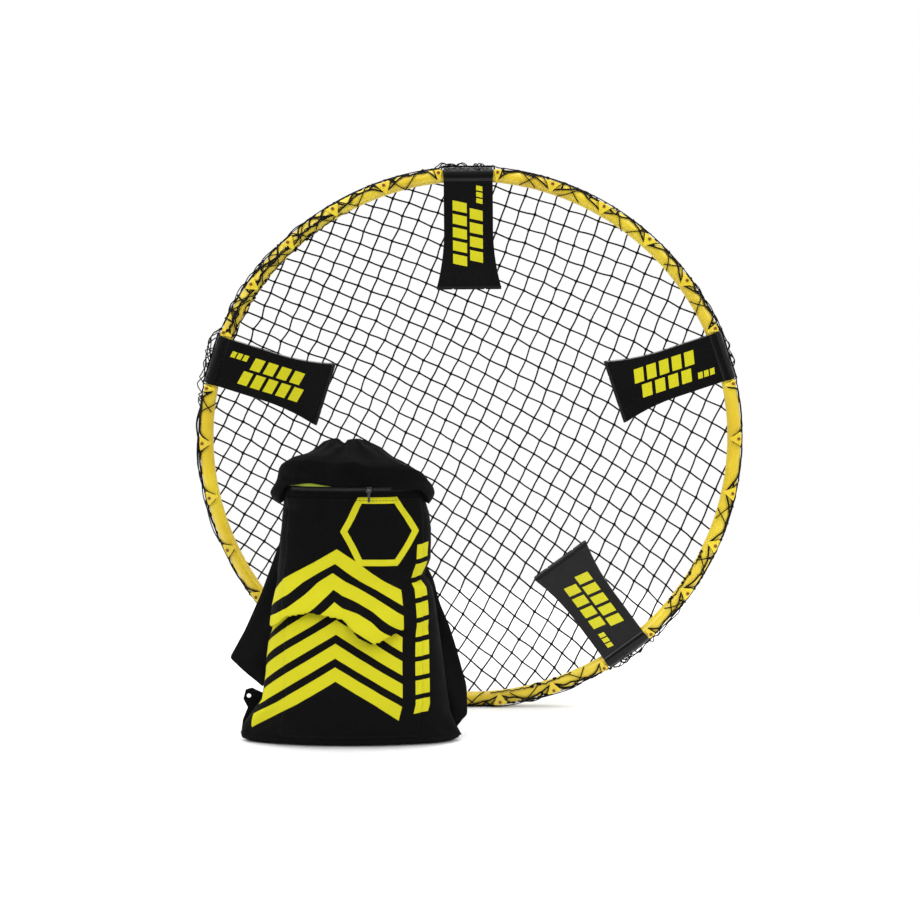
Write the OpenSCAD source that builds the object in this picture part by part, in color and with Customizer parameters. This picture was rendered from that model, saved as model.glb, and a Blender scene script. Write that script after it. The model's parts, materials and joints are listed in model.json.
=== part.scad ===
// A roundnet set stood up for display: the net ring on its edge with its legs
// folded flat, and its drawstring bag standing in front of it.
// X runs to the right, Y away from the viewer and Z up. The origin is on the
// floor, under the middle of the whole set.

/* [Ring] */
// Outside diameter of the assembled rim
ring_d = 914; // [890:1:940]
// Outside diameter of the rim tube
tube_d = 23; // [22:0.5:24]
// Wall of the rim tube
tube_wall = 2; // [1.75:0.25:2.25]
// Turn of the whole ring about its own axis, in degrees
ring_turn = 0.5; // [-1:0.25:1]

/* [Legs] */
// Width of a leg at its sleeve
leg_w = 82; // [78:1:84]
// Whole length of a leg, sleeve and pad included
leg_len = 203; // [190:1:203]
// Width of a leg at its foot
foot_w = 107; // [98:1:110]
// Length over which the foot flares
flare_len = 95; // [80:1:110]
// How far the face curves forward at the foot
foot_rise = 6; // [4:0.5:7]
// Outside diameter of the sleeve round the rim
sleeve_d = 28; // [27.5:0.25:28]
// Wall of the moulded leg shell
leg_wall = 2.8; // [2.4:0.2:3.2]
// Thickness of the rubber foot pad
pad_t = 5; // [4:0.5:6]

/* [Hooks] */
// Angle between two neighbouring net hooks
hook_pitch = 11.9; // [11.8:0.05:11.95]
// Width of a hook at its base
hook_w = 24; // [20:0.5:26]
// Width of the hooks next to the sleeves
end_hook_w = 13; // [10:0.5:13.5]
// Diameter of a hook screw
screw_d = 3; // [2.5:0.25:3]

/* [Net] */
// Thickness that the knotted net takes up
net_t = 2; // [1.5:0.25:2]

/* [Bag] */
// Height of the standing bag
bag_h = 484; // [470:1:495]
// Half of the bag's width at its widest
bag_half_w = 163; // [158:1:166]
// Half of the bag's depth at its fullest
bag_half_d = 64; // [62:1:68]
// Thickness of the bag's cloth with its lining
cloth_t = 2.5; // [2:0.25:3]
// Outside diameter of a ball
ball_d = 90; // [86:1:92]
// Clear gap between the bag's back and the rim tube's centre
bag_gap = 198; // [198:1:205]

/* [Hidden] */

$fn = 72;
ring_fn = 288;
leg_count = 5;
leg_step = 360 / leg_count;
first_leg = 90;

rim_yellow = [0.96, 0.74, 0.08];
leg_black = [0.07, 0.07, 0.08];
pad_black = [0.03, 0.03, 0.03];
cord_black = [0.05, 0.05, 0.05];
cloth_black = [0.09, 0.09, 0.10];
steel_grey = [0.62, 0.62, 0.64];
ball_yellow = [0.93, 0.90, 0.12];
screw_brown = [0.63, 0.32, 0.18];

tube_r = tube_d / 2;
bore_r = tube_r - tube_wall;
ring_r = ring_d / 2 - tube_r;
edge_gap = 0.2;
ring_z = ring_d / 2 + net_t;

// Sleeve, journal and plug round each leg joint
fit_gap = 0.05;
plug_gap = 0.1;
end_gap = 0.6;
sleeve_r = sleeve_d / 2;
sleeve_bore = 10.5;
journal_r = sleeve_bore - fit_gap;
plug_r = bore_r - plug_gap;
journal_half = leg_w / 2 + end_gap;
tube_cut = journal_half + plug_gap;
plug_angle = 9;
plug_lap = 3;
hinge_r = sqrt(ring_r * ring_r - tube_cut * tube_cut);
clear_box = 60;

// Leg shell, in its own frame: -X along the leg to the foot, +Z out of its face
panel_front = 11;
panel_back = -7;
panel_start = 4;
pocket_start = sleeve_r + 2;
leg_end = leg_len - sleeve_r - pad_t;
flare_start = leg_end - flare_len;
flare_steps = 12;
rib_t = 2;
rib_y = 14;
rib_x = [50, 92, 134];
rib_back = 2;
pad_lip = 0.6;
pad_corner = 6;
pad_groove = 1.2;
pad_groove_w = 3;

// Hook outline, in the tube's frame: +X outward, +Z out of the hook face
hook_out = 10.5;
hook_in = -8;
hook_tip = 2.6;
hook_under = 13.8;
hook_top = 16.2;
stem_in = 1;
stem_w = 8;
saddle_gap = 0.03;
screw_x = 6.5;
screw_end = 6;
screw_hole_r = screw_d / 2 + 0.1;
head_r = 2.8;
head_t = 1.5;
recess_l = 3.4;
recess_w = 0.7;
saddle_angle = 4;
hooks_per_tube = 6;

net_gap = 0.5;
net_r = ring_r - sleeve_r - net_gap;
net_band = 14;
net_end_gap = 1.5;
net_cut = journal_half + net_end_gap;

// Bag shape up its height: [height, centre, half width, half depth], each as a
// share of the bag's height, half width, half width and half depth
bag_sections = [
    [0.000, 0.01, 0.965, 0.82],
    [0.030, 0.01, 1.000, 0.94],
    [0.147, 0.01, 0.920, 1.00],
    [0.341, 0.01, 0.835, 0.97],
    [0.504, 0.01, 0.775, 0.89],
    [0.667, 0.02, 0.735, 0.83],
    [0.765, 0.03, 0.700, 0.80],
    [0.815, 0.01, 0.780, 0.84],
    [0.878, 0.00, 0.725, 0.82]
];
collar_sections = [
    [0.879, 0.00, 0.725, 0.82],
    [0.922, -0.06, 0.570, 0.72],
    [0.965, -0.04, 0.330, 0.52],
    [1.000, -0.08, 0.150, 0.30]
];
bag_x = -190;
bag_sides = 28;
squareness = 4;
skin_gap = 0.4;
pocket_t = 2.6;
pocket_low = 16;
pocket_high = 402;
pocket_half_w = 112;
collar_roof = 6;

// Zip along the top of the pocket
zip_z = 416;
zip_half = 98;
zip_base_t = 1.2;
zip_base_h = 10;
zip_web_h = 2;
zip_web_t = 1.8;
zip_row_h = 5;
zip_row_t = 1.4;
zip_bag_depth = 0.84;
zip_gap = 0.6;
zip_back = 2 * bag_half_d * zip_bag_depth + zip_gap;
slider_x = 30;
slider_l = 9;
slider_h = 9;
slider_gap = 0.3;
slider_wall = 1.1;
bail_r = 0.8;
bail_out = 2.4;
bail_post = 1.2;
eye_r = 0.95;
eye_wall = 0.9;
pull_w = 4;
pull_len = 18;
pull_t = 1.2;
row_near = zip_back + zip_base_t + zip_web_t;
row_far = row_near + zip_row_t;
slider_far = row_far + slider_gap + slider_wall;
bail_depth = slider_far + bail_out;
post_lap = 0.5;

// Straps, tabs and drawcord
strap_t = 3;
strap_gap = 0.4;
tab_hole_r = 3.5;
cord_r = 2.5;
cord_sides = 8;
cord_rings = 48;
cord_section = [0.900, -0.03, 0.65, 0.77];
cord_inset = 9;

ball_r = ball_d / 2;
ball_wall = 2.5;
ball_y = -60;
ball_step = 93;
ball_lift = 0.3;
ball_count = 3;

pocket_front = 2 * bag_half_d + skin_gap + pocket_t;
ring_y = (bag_gap + pocket_front - sleeve_r) / 2;
bag_y = ring_y - bag_gap;

function leg_angle(i) = first_leg + ring_turn - (i - 1) * leg_step;
function hook_angle(i, k) = leg_angle(i) - leg_step / 2
    + (k - (hooks_per_tube - 1) / 2) * hook_pitch;
// Sagitta of the arc that rises by rise over len, at distance d along it
function arc_rise(d, rise, len) = d <= 0 ? 0
    : let (r = (len * len + rise * rise) / (2 * rise)) r - sqrt(r * r - d * d);
function flare_at(k) = flare_start + flare_len * k / flare_steps;
function side_at(x) = leg_w / 2 + arc_rise(x - flare_start, (foot_w - leg_w) / 2, flare_len);
function face_at(x) = panel_front + arc_rise(x - flare_start, foot_rise, flare_len);

module ring_frame() {
    translate([0, ring_y, ring_z]) rotate([90, 0, 0]) children();
}

module at_leg(i) {
    rotate([0, 0, leg_angle(i)]) translate([hinge_r, 0, 0]) children();
}

module at_hook(i, k) {
    rotate([0, 0, hook_angle(i, k)]) translate([ring_r, 0, 0]) children();
}

module leg_gap(i, half) {
    at_leg(i) cube([clear_box, 2 * half, clear_box], center = true);
}

module screw_hole() {
    translate([screw_x, 0, 0]) cylinder(r = screw_hole_r, h = clear_box / 2);
}

// One arc of the rim, from the leg numbered i to the next one round
module rim_tube(i) {
    color(rim_yellow) ring_frame() difference() {
        rotate([0, 0, leg_angle(i + 1)])
            rotate_extrude(angle = leg_step, $fn = ring_fn) translate([ring_r, 0]) difference() {
                circle(r = tube_r);
                circle(r = bore_r);
            }
        leg_gap(i, tube_cut);
        leg_gap(i + 1, tube_cut);
        for (k = [0 : hooks_per_tube - 1]) at_hook(i, k) screw_hole();
    }
}

// The journal that a leg turns on, with a plug at each end inside the rim tubes
module rim_coupler(i) {
    color(leg_black) ring_frame() difference() {
        union() {
            at_leg(i) rotate([90, 0, 0]) cylinder(r = journal_r, h = 2 * journal_half, center = true);
            difference() {
                rotate([0, 0, leg_angle(i) - plug_angle])
                    rotate_extrude(angle = 2 * plug_angle, $fn = ring_fn)
                    translate([ring_r, 0]) circle(r = plug_r);
                leg_gap(i, journal_half - plug_lap);
            }
        }
        at_hook(i, hooks_per_tube - 1) screw_hole();
        at_hook(i - 1, 0) screw_hole();
    }
}

// Leg block: its outline from the face crossed with its outline from the side
module leg_block(inset, start, back) {
    last = leg_end - inset;
    steps = [for (k = [0 : flare_steps]) min(flare_at(k), last)];
    intersection() {
        linear_extrude(height = clear_box, center = true) polygon(concat(
            [[-start, side_at(start) - inset]],
            [for (x = steps) [-x, side_at(x) - inset]],
            [for (k = [flare_steps : -1 : 0]) [-steps[k], inset - side_at(steps[k])]],
            [[-start, inset - side_at(start)]]));
        rotate([90, 0, 0]) linear_extrude(height = 2 * clear_box, center = true) polygon(concat(
            [[-start, back], [-start, panel_front - inset]],
            [for (x = steps) [-x, face_at(x) - inset]],
            [[-last, back]]));
    }
}

module leg_ribs() {
    intersection() {
        leg_block(leg_wall / 2, panel_start + leg_wall, panel_back + rib_back);
        union() {
            for (y = [-rib_y, rib_y]) translate([-leg_len, y - rib_t / 2, -clear_box / 2])
                cube([leg_len - pocket_start + 1, rib_t, clear_box]);
            for (x = rib_x) translate([-x, 0, 0]) cube([rib_t, foot_w, clear_box], center = true);
        }
    }
}

module leg(i) {
    color(leg_black) ring_frame() at_leg(i) union() {
        difference() {
            union() {
                leg_block(0, panel_start, panel_back);
                rotate([90, 0, 0]) cylinder(r = sleeve_r, h = leg_w, center = true);
            }
            rotate([90, 0, 0]) cylinder(r = sleeve_bore, h = 2 * leg_w, center = true);
            leg_block(leg_wall, pocket_start, panel_back - 1);
        }
        leg_ribs();
    }
}

module rounded_plate(w, h, r) {
    square([w - 2 * r, h], center = true);
    square([w, h - 2 * r], center = true);
    for (x = [r - w / 2, w / 2 - r], y = [r - h / 2, h / 2 - r]) translate([x, y]) circle(r = r);
}

// Rubber sole, with two shallow grip grooves across it
module foot_pad(i) {
    low = panel_back - pad_lip;
    high = panel_front + foot_rise + pad_lip;
    color(pad_black) ring_frame() at_leg(i)
        translate([-leg_end - pad_t, 0, (low + high) / 2]) difference() {
            rotate([90, 0, 90]) linear_extrude(height = pad_t)
                rounded_plate(foot_w + 2 * pad_lip, high - low, pad_corner);
            for (y = [-foot_w / 4, foot_w / 4])
                translate([0, y, 0]) cube([2 * pad_groove, pad_groove_w, clear_box], center = true);
        }
}

// A net hook: a stem on the tube under a pointed tongue that holds the net in
module rim_hook(w) {
    difference() {
        union() {
            translate([stem_in, -stem_w / 2, 0]) cube([hook_out - stem_in, stem_w, hook_under + 1]);
            translate([0, 0, hook_under]) linear_extrude(height = hook_top - hook_under) polygon([
                [hook_out, -w / 2], [hook_out, w / 2],
                [hook_in, hook_tip / 2], [hook_in, -hook_tip / 2]]);
        }
        translate([-ring_r, 0, 0]) rotate([0, 0, -saddle_angle / 2])
            rotate_extrude(angle = saddle_angle, $fn = ring_fn) translate([ring_r, 0])
            circle(r = tube_r + saddle_gap);
        screw_hole();
    }
}

module rim_hooks(i) {
    last = hooks_per_tube - 1;
    color(rim_yellow) ring_frame() for (k = [0 : last])
        at_hook(i, k) rim_hook(k == 0 || k == last ? end_hook_w : hook_w);
}

module hook_screw() {
    difference() {
        union() {
            translate([0, 0, screw_end]) cylinder(r = screw_d / 2, h = hook_top - screw_end);
            translate([0, 0, hook_top]) cylinder(r = head_r, h = head_t);
        }
        for (a = [0, 90]) rotate([0, 0, a]) translate([0, 0, hook_top + head_t])
            cube([recess_l, recess_w, head_t], center = true);
    }
}

module hook_screws() {
    color(screw_brown) ring_frame() for (i = [1 : leg_count], k = [0 : hooks_per_tube - 1])
        at_hook(i, k) translate([screw_x, 0, 0]) hook_screw();
}

// The stretched net, on the far side of the ring from the hooks
module net_bed() {
    color(cord_black) ring_frame() translate([0, 0, -tube_r])
        cylinder(r = net_r, h = net_t, $fn = ring_fn);
}

// The net's edge where it wraps round the outside of the rim between the legs
module net_edge() {
    color(cord_black) ring_frame() difference() {
        rotate_extrude($fn = ring_fn) translate([ring_d / 2 + edge_gap, -net_band / 2])
            square([net_t - edge_gap, net_band]);
        for (i = [1 : leg_count]) leg_gap(i, net_cut);
    }
}

module bag_frame() {
    translate([bag_x, bag_y, 0]) children();
}

function super_point(a, w, d) = [
    w * sign(cos(a)) * pow(abs(cos(a)), 2 / squareness),
    d * sign(sin(a)) * pow(abs(sin(a)), 2 / squareness)
];
// One section ring: the back stays on the plane Y = 0, grown on every side by grow
function section_ring(s, grow) = [for (k = [0 : bag_sides - 1])
    let (p = super_point(360 * k / bag_sides, s[2] * bag_half_w + grow, s[3] * bag_half_d + grow))
    [p[0] + s[1] * bag_half_w, p[1] - s[3] * bag_half_d, s[0] * bag_h]];

// A closed solid through a list of rings that all have the same number of points
module loft(rings) {
    n = len(rings[0]);
    last = len(rings) - 1;
    polyhedron(
        points = [for (r = rings) each r],
        faces = concat(
            [[for (k = [0 : n - 1]) k]],
            [for (r = [0 : last - 1], k = [0 : n - 1])
                [r * n + k, (r + 1) * n + k, (r + 1) * n + (k + 1) % n]],
            [for (r = [0 : last - 1], k = [0 : n - 1])
                [r * n + k, (r + 1) * n + (k + 1) % n, r * n + (k + 1) % n]],
            [[for (k = [n - 1 : -1 : 0]) last * n + k]]));
}

module bag_loft(sections, grow) {
    loft([for (s = sections) section_ring(s, grow)]);
}

function raised(ring, dz) = [for (p = ring) [p[0], p[1], p[2] + dz]];

// The inside of a run of sections, moved at its ends so that it opens or stops short
module bag_inside(sections, low, high) {
    last = len(sections) - 1;
    loft([for (k = [0 : last])
        raised(section_ring(sections[k], -cloth_t), k == 0 ? low : k == last ? high : 0)]);
}

module bag_body() {
    color(cloth_black) bag_frame() difference() {
        bag_loft(bag_sections, 0);
        bag_inside(bag_sections, cloth_t, 1);
    }
}

// The cinched top of the bag, open below onto the body
module bag_collar() {
    color(cloth_black) bag_frame() difference() {
        bag_loft(collar_sections, 0);
        bag_inside(collar_sections, -1, -collar_roof);
    }
}

// The printed front pocket, a second skin over the front of the body
module bag_pocket() {
    color(cloth_black) bag_frame() intersection() {
        difference() {
            bag_loft(bag_sections, skin_gap + pocket_t);
            bag_loft(bag_sections, skin_gap);
        }
        translate([-pocket_half_w, -3 * bag_half_d, pocket_low])
            cube([2 * pocket_half_w, 2 * bag_half_d, pocket_high - pocket_low]);
    }
}

// The drawcord, closed round the inside of the collar
module draw_cord() {
    s = cord_section;
    path = [for (k = [0 : cord_rings - 1]) let (
            a = 360 * k / cord_rings,
            w = s[2] * bag_half_w - cord_inset,
            d = s[3] * bag_half_d - cord_inset)
        [w * cos(a) + s[1] * bag_half_w, d * sin(a) - s[3] * bag_half_d]];
    points = [for (k = [0 : cord_rings - 1], j = [0 : cord_sides - 1]) let (
            a = 360 * k / cord_rings,
            b = 360 * j / cord_sides)
        [path[k][0] + cord_r * cos(b) * cos(a), path[k][1] + cord_r * cos(b) * sin(a),
            s[0] * bag_h + cord_r * sin(b)]];
    n = cord_sides;
    m = cord_rings;
    color(cord_black) bag_frame() polyhedron(points = points, faces = concat(
        [for (k = [0 : m - 1], j = [0 : n - 1])
            [k * n + j, ((k + 1) % m) * n + (j + 1) % n, ((k + 1) % m) * n + j]],
        [for (k = [0 : m - 1], j = [0 : n - 1])
            [k * n + j, k * n + (j + 1) % n, ((k + 1) % m) * n + (j + 1) % n]]));
}

// A bar along the zip: from depth near to depth far in front of the bag's back
module zip_bar(half, h, near, far) {
    translate([-half, -far, zip_z - h / 2]) cube([2 * half, far - near, h]);
}

module zip_tape() {
    color(cord_black) bag_frame() union() {
        zip_bar(zip_half, zip_base_h, zip_back, zip_back + zip_base_t);
        zip_bar(zip_half, zip_web_h, zip_back, row_far);
        zip_bar(zip_half, zip_row_h, row_near, row_far);
    }
}

module zip_slider() {
    color(steel_grey) bag_frame() translate([slider_x, 0, 0]) union() {
        difference() {
            zip_bar(slider_l / 2, slider_h, row_near - slider_gap - slider_wall, slider_far);
            zip_bar(slider_l, zip_row_h + 2 * slider_gap, row_near - slider_gap, row_far + slider_gap);
            zip_bar(slider_l, zip_web_h + 2 * slider_gap, 0, row_far);
        }
        for (x = [-slider_l / 2, slider_l / 2 - bail_post])
            translate([x, -bail_depth - bail_r, zip_z - bail_r])
            cube([bail_post, bail_depth + bail_r - slider_far + post_lap, 2 * bail_r]);
        translate([0, -bail_depth, zip_z]) rotate([0, 90, 0])
            cylinder(r = bail_r, h = slider_l - bail_post, center = true);
    }
}

module zip_pull() {
    color(steel_grey) bag_frame() translate([slider_x, -bail_depth, zip_z]) difference() {
        union() {
            rotate([0, 90, 0]) cylinder(r = eye_r + eye_wall, h = pull_w, center = true);
            translate([-pull_w / 2, -pull_t / 2, -pull_len]) cube([pull_w, pull_t, pull_len]);
            translate([0, 0, -pull_len]) rotate([90, 0, 0])
                cylinder(r = pull_w / 2, h = pull_t, center = true);
        }
        rotate([0, 90, 0]) cylinder(r = eye_r, h = 2 * pull_w, center = true);
    }
}

// Makes a flat webbing piece behind the bag from its outline seen from the front
module webbing() {
    color(cloth_black) bag_frame() translate([0, strap_gap + strap_t, 0]) rotate([90, 0, 0])
        linear_extrude(height = strap_t) children();
}

module strap_left() {
    webbing() polygon([
        [-70, 387], [-100, 380], [-116, 318], [-127, 285], [-147, 230], [-173, 172], [-190, 135],
        [-146, 90], [-118, 122], [-126, 160], [-104, 220], [-84, 290], [-70, 340]]);
}

module strap_right() {
    webbing() polygon([
        [70, 387], [70, 340], [84, 290], [100, 220], [112, 150], [126, 90], [150, 34],
        [172, 34], [180, 42], [180, 84], [166, 124], [150, 184], [137, 220], [129, 254],
        [112, 290], [104, 340], [98, 380]]);
}

module corner_tab_left() {
    webbing() difference() {
        polygon([
            [-173, 81], [-163, 84], [-141, 74], [-138, 12],
            [-181, 11], [-178, 32], [-170, 52], [-177, 66]]);
        translate([-168, 71]) circle(r = tab_hole_r);
    }
}

module corner_tab_right() {
    webbing() difference() {
        polygon([[136, 28], [136, 10], [160, 4], [176, 7], [168, 20], [176, 30], [160, 33]]);
        translate([156, 18]) circle(r = tab_hole_r);
    }
}

module ball(k) {
    color(ball_yellow) bag_frame()
        translate([(k - 2) * ball_step, ball_y, cloth_t + ball_lift + ball_r]) difference() {
            sphere(r = ball_r);
            sphere(r = ball_r - ball_wall);
        }
}

for (i = [1 : leg_count]) {
    rim_tube(i);
    rim_coupler(i);
    leg(i);
    foot_pad(i);
    rim_hooks(i);
}
hook_screws();
net_bed();
net_edge();
bag_body();
bag_collar();
bag_pocket();
draw_cord();
zip_tape();
zip_slider();
zip_pull();
strap_left();
strap_right();
corner_tab_left();
corner_tab_right();
for (k = [1 : ball_count]) ball(k);
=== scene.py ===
import json
import logging
import math
import random
from dataclasses import dataclass, field
from enum import Enum
from functools import cached_property

import bmesh
import bpy
import numpy as np
from mathutils import Matrix, Vector, noise


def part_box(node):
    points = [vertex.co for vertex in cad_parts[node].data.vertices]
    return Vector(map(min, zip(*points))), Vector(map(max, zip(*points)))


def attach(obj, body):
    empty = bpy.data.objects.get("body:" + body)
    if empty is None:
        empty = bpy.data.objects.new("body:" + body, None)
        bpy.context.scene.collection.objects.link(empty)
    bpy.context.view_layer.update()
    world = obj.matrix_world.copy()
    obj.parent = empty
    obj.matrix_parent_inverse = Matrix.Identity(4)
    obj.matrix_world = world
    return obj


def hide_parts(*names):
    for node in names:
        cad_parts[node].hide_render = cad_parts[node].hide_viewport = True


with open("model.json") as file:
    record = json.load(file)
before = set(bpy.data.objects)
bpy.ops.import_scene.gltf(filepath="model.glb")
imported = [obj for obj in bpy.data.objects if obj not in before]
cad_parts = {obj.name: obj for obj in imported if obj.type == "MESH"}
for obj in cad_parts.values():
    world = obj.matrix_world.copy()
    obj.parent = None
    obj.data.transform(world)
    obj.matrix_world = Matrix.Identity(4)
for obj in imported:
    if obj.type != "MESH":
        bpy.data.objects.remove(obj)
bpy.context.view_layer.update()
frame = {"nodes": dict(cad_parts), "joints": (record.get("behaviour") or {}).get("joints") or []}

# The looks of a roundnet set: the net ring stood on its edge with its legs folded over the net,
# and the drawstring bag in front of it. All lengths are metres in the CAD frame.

Color = tuple[float, float, float, float]
LOG = logging.getLogger("roundnet")

LEMON: Color = (0.60, 0.565, 0.016, 1.0)
LEG_COUNT = 5


class Body(Enum):
    """The moving bodies that a piece can ride on, except the legs, which are numbered."""

    RING = "ring"
    BAG = "bag"
    SLIDER = "zip_slider_body"
    PULL = "zip_pull_body"


class Slot(Enum):
    """The record's material slots."""

    RIM = "rim_plastic"
    HOOK = "hook_plastic"
    COUPLER = "coupler_plastic"
    LEG = "leg_plastic"
    PAD = "pad_rubber"
    SCREW = "screw_steel"
    CORD = "net_cord"
    CLOTH = "bag_cloth"
    POCKET = "pocket_cloth"
    ZIP = "zip_nylon"
    METAL = "zip_metal"
    WEBBING = "strap_webbing"
    BALL = "ball_rubber"


# ---------------------------------------------------------------- node graphs


class NodeGraph:
    """A thin layer over a node tree, so that a graph reads as formulas."""

    def __init__(self, tree: bpy.types.NodeTree) -> None:
        """Wraps a node tree.

        Args:
            tree: The shader or geometry tree that nodes are added to.
        """
        self.tree = tree

    def feed(self, socket: bpy.types.NodeSocket, value: object) -> None:
        """Links a socket to another one, or sets its value.

        Args:
            socket: The input socket.
            value: An output socket, or a plain value.
        """
        if isinstance(value, bpy.types.NodeSocket):
            self.tree.links.new(value, socket)
        elif isinstance(value, bpy.types.Node):
            self.tree.links.new(value.outputs[0], socket)
        else:
            socket.default_value = value

    def add(self, kind: str, inputs: dict | None = None, **settings: object) -> bpy.types.Node:
        """Adds a node.

        Args:
            kind: The node's type name.
            inputs: Input names or numbers, and what feeds each.
            settings: Node properties to set before its inputs are fed.

        Returns:
            The new node.
        """
        node = self.tree.nodes.new(kind)
        for key, value in settings.items():
            setattr(node, key, value)
        for key, value in (inputs or {}).items():
            self.feed(node.inputs[key], value)
        return node

    def math(self, operation: str, *values: object) -> bpy.types.NodeSocket:
        """Adds a Math node and returns its output.

        Args:
            operation: The Math node's operation.
            values: Its operands, sockets or numbers.

        Returns:
            The result's socket.
        """
        node = self.tree.nodes.new("ShaderNodeMath")
        node.operation = operation
        for socket, value in zip(node.inputs, values):
            self.feed(socket, value)
        return node.outputs[0]

    def total(self, sockets: list) -> bpy.types.NodeSocket:
        """Returns the largest of several masks.

        Args:
            sockets: The masks.

        Returns:
            One mask's socket.
        """
        result = sockets[0]
        for other in sockets[1:]:
            result = self.math("MAXIMUM", result, other)
        return result


class Shading(NodeGraph):
    """One material's graph around its Principled shader."""

    def __init__(self, name: str) -> None:
        """Starts a material.

        Args:
            name: The material's name.
        """
        self.material = bpy.data.materials.new(name)
        self.material.use_nodes = True
        super().__init__(self.material.node_tree)
        self.shader = self.tree.nodes["Principled BSDF"]

    def set(self, **values: object) -> None:
        """Sets or links the shader's own inputs, with _ for each space in a name."""
        for key, value in values.items():
            self.feed(self.shader.inputs[key.replace("_", " ")], value)

    def place(self) -> bpy.types.NodeSocket:
        """Returns object coordinates."""
        return self.add("ShaderNodeTexCoord").outputs["Object"]

    def noise(self, coords: object, scale: float, detail: float = 2.0,
              rough: float = 0.5) -> bpy.types.NodeSocket:
        """Returns a noise value between 0 and 1."""
        return self.add("ShaderNodeTexNoise", {
            "Vector": coords, "Scale": scale, "Detail": detail, "Roughness": rough}).outputs["Fac"]

    def span(self, value: object, low: float, high: float, out_low: float,
             out_high: float) -> bpy.types.NodeSocket:
        """Maps a value from one span to another, clamped."""
        return self.add("ShaderNodeMapRange", {
            "Value": value, "From Min": low, "From Max": high,
            "To Min": out_low, "To Max": out_high}).outputs["Result"]

    def mix(self, factor: object, first: object, second: object) -> bpy.types.NodeSocket:
        """Mixes two colours."""
        node = self.add("ShaderNodeMix", data_type="RGBA")
        self.feed(node.inputs[0], factor)
        self.feed(node.inputs[6], first)
        self.feed(node.inputs[7], second)
        return node.outputs[2]

    def bump(self, height: object, distance: float, strength: float = 1.0,
             under: object = None) -> bpy.types.NodeSocket:
        """Returns a bumped normal, laid over another one where under is given."""
        node = self.add("ShaderNodeBump", {"Height": height, "Distance": distance, "Strength": strength})
        if under is not None:
            self.feed(node.inputs["Normal"], under)
        return node.outputs[0]

    def uv(self) -> tuple:
        """Returns the U and V sockets of the piece's own map."""
        node = self.add("ShaderNodeSeparateXYZ", {0: self.add("ShaderNodeUVMap", uv_map="map").outputs[0]})
        return node.outputs[0], node.outputs[1]


# ------------------------------------------------------------------- finishes


@dataclass(frozen=True)
class PrintRow:
    """A row of slanted blocks, printed along U.

    Attributes:
        start: U at the row's first block.
        middle: V at the row's middle.
        height: Extent across the row.
        pitch: Distance from one block to the next.
        count: Number of blocks.
        fill: Share of the pitch that a block covers.
        slant: How far a block leans along U for each unit across.
        upright: Whether the row runs along V in place of U.
    """

    start: float
    middle: float
    height: float
    pitch: float
    count: int
    fill: float
    slant: float
    upright: bool = False

    def mask(self, graph: NodeGraph, u: object, v: object) -> bpy.types.NodeSocket:
        """Returns a mask that is 1 on the blocks.

        Args:
            graph: The graph to add the formula to.
            u: The U socket.
            v: The V socket.

        Returns:
            The mask's socket.
        """
        u, v = (v, u) if self.upright else (u, v)
        across = graph.math("SUBTRACT", v, self.middle)
        along = graph.math("SUBTRACT", graph.math("SUBTRACT", u, self.start),
                           graph.math("MULTIPLY", across, self.slant))
        inside = graph.math("LESS_THAN", graph.math("ABSOLUTE", across), self.height / 2)
        turns = graph.math("DIVIDE", along, self.pitch)
        block = graph.math("LESS_THAN", graph.math("FRACT", turns), self.fill)
        first = graph.math("GREATER_THAN", turns, 0.0)
        last = graph.math("LESS_THAN", turns, float(self.count))
        return graph.math("MULTIPLY", graph.math("MULTIPLY", inside, block),
                          graph.math("MULTIPLY", first, last))


@dataclass(frozen=True)
class MouldedPlastic:
    """Moulded plastic: mottled colour, moulded grain, and handling marks in its gloss.

    Attributes:
        name: The material's name.
        color: Its main colour.
        shade: The colour that it drifts to.
        roughness: Its mean roughness.
        grain: Depth of the moulded grain.
        grain_scale: Grains per metre.
        coat: Clear gloss over it.
        rows: Printed rows of blocks, if any.
        shine: Strength of its mirror reflection.
    """

    name: str
    color: Color
    shade: Color
    roughness: float
    grain: float
    grain_scale: float
    coat: float = 0.0
    rows: tuple = ()
    shine: float = 0.5

    def build(self) -> bpy.types.Material:
        """Returns the material."""
        g = Shading(self.name)
        here = g.place()
        drift = g.noise(here, 9.0, 3.0)
        base = g.mix(g.span(drift, 0.35, 0.65, 0.0, 1.0), self.color, self.shade)
        scuff = g.noise(here, 160.0, 6.0, 0.7)
        gloss = g.span(scuff, 0.3, 0.75, self.roughness - 0.06, self.roughness + 0.12)
        pits = g.noise(here, self.grain_scale, 2.0)
        waves = g.noise(here, 22.0, 1.0)
        normal = g.bump(waves, 0.0006, 0.5, g.bump(pits, self.grain))
        if self.rows:
            u, v = g.uv()
            ink = g.total([row.mask(g, u, v) for row in self.rows])
            worn = g.span(g.noise(here, 900.0, 3.0), 0.28, 0.36, 0.72, 1.0)
            base = g.mix(g.math("MULTIPLY", ink, worn), base, LEMON)
            gloss = g.math("ADD", gloss, g.math("MULTIPLY", ink, 0.05))
            normal = g.bump(ink, 0.00008, 0.6, normal)
        g.set(Base_Color=base, Roughness=gloss, Normal=normal, Coat_Weight=self.coat,
              Coat_Roughness=0.12, IOR=1.5, Specular_IOR_Level=self.shine)
        return g.material


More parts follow.
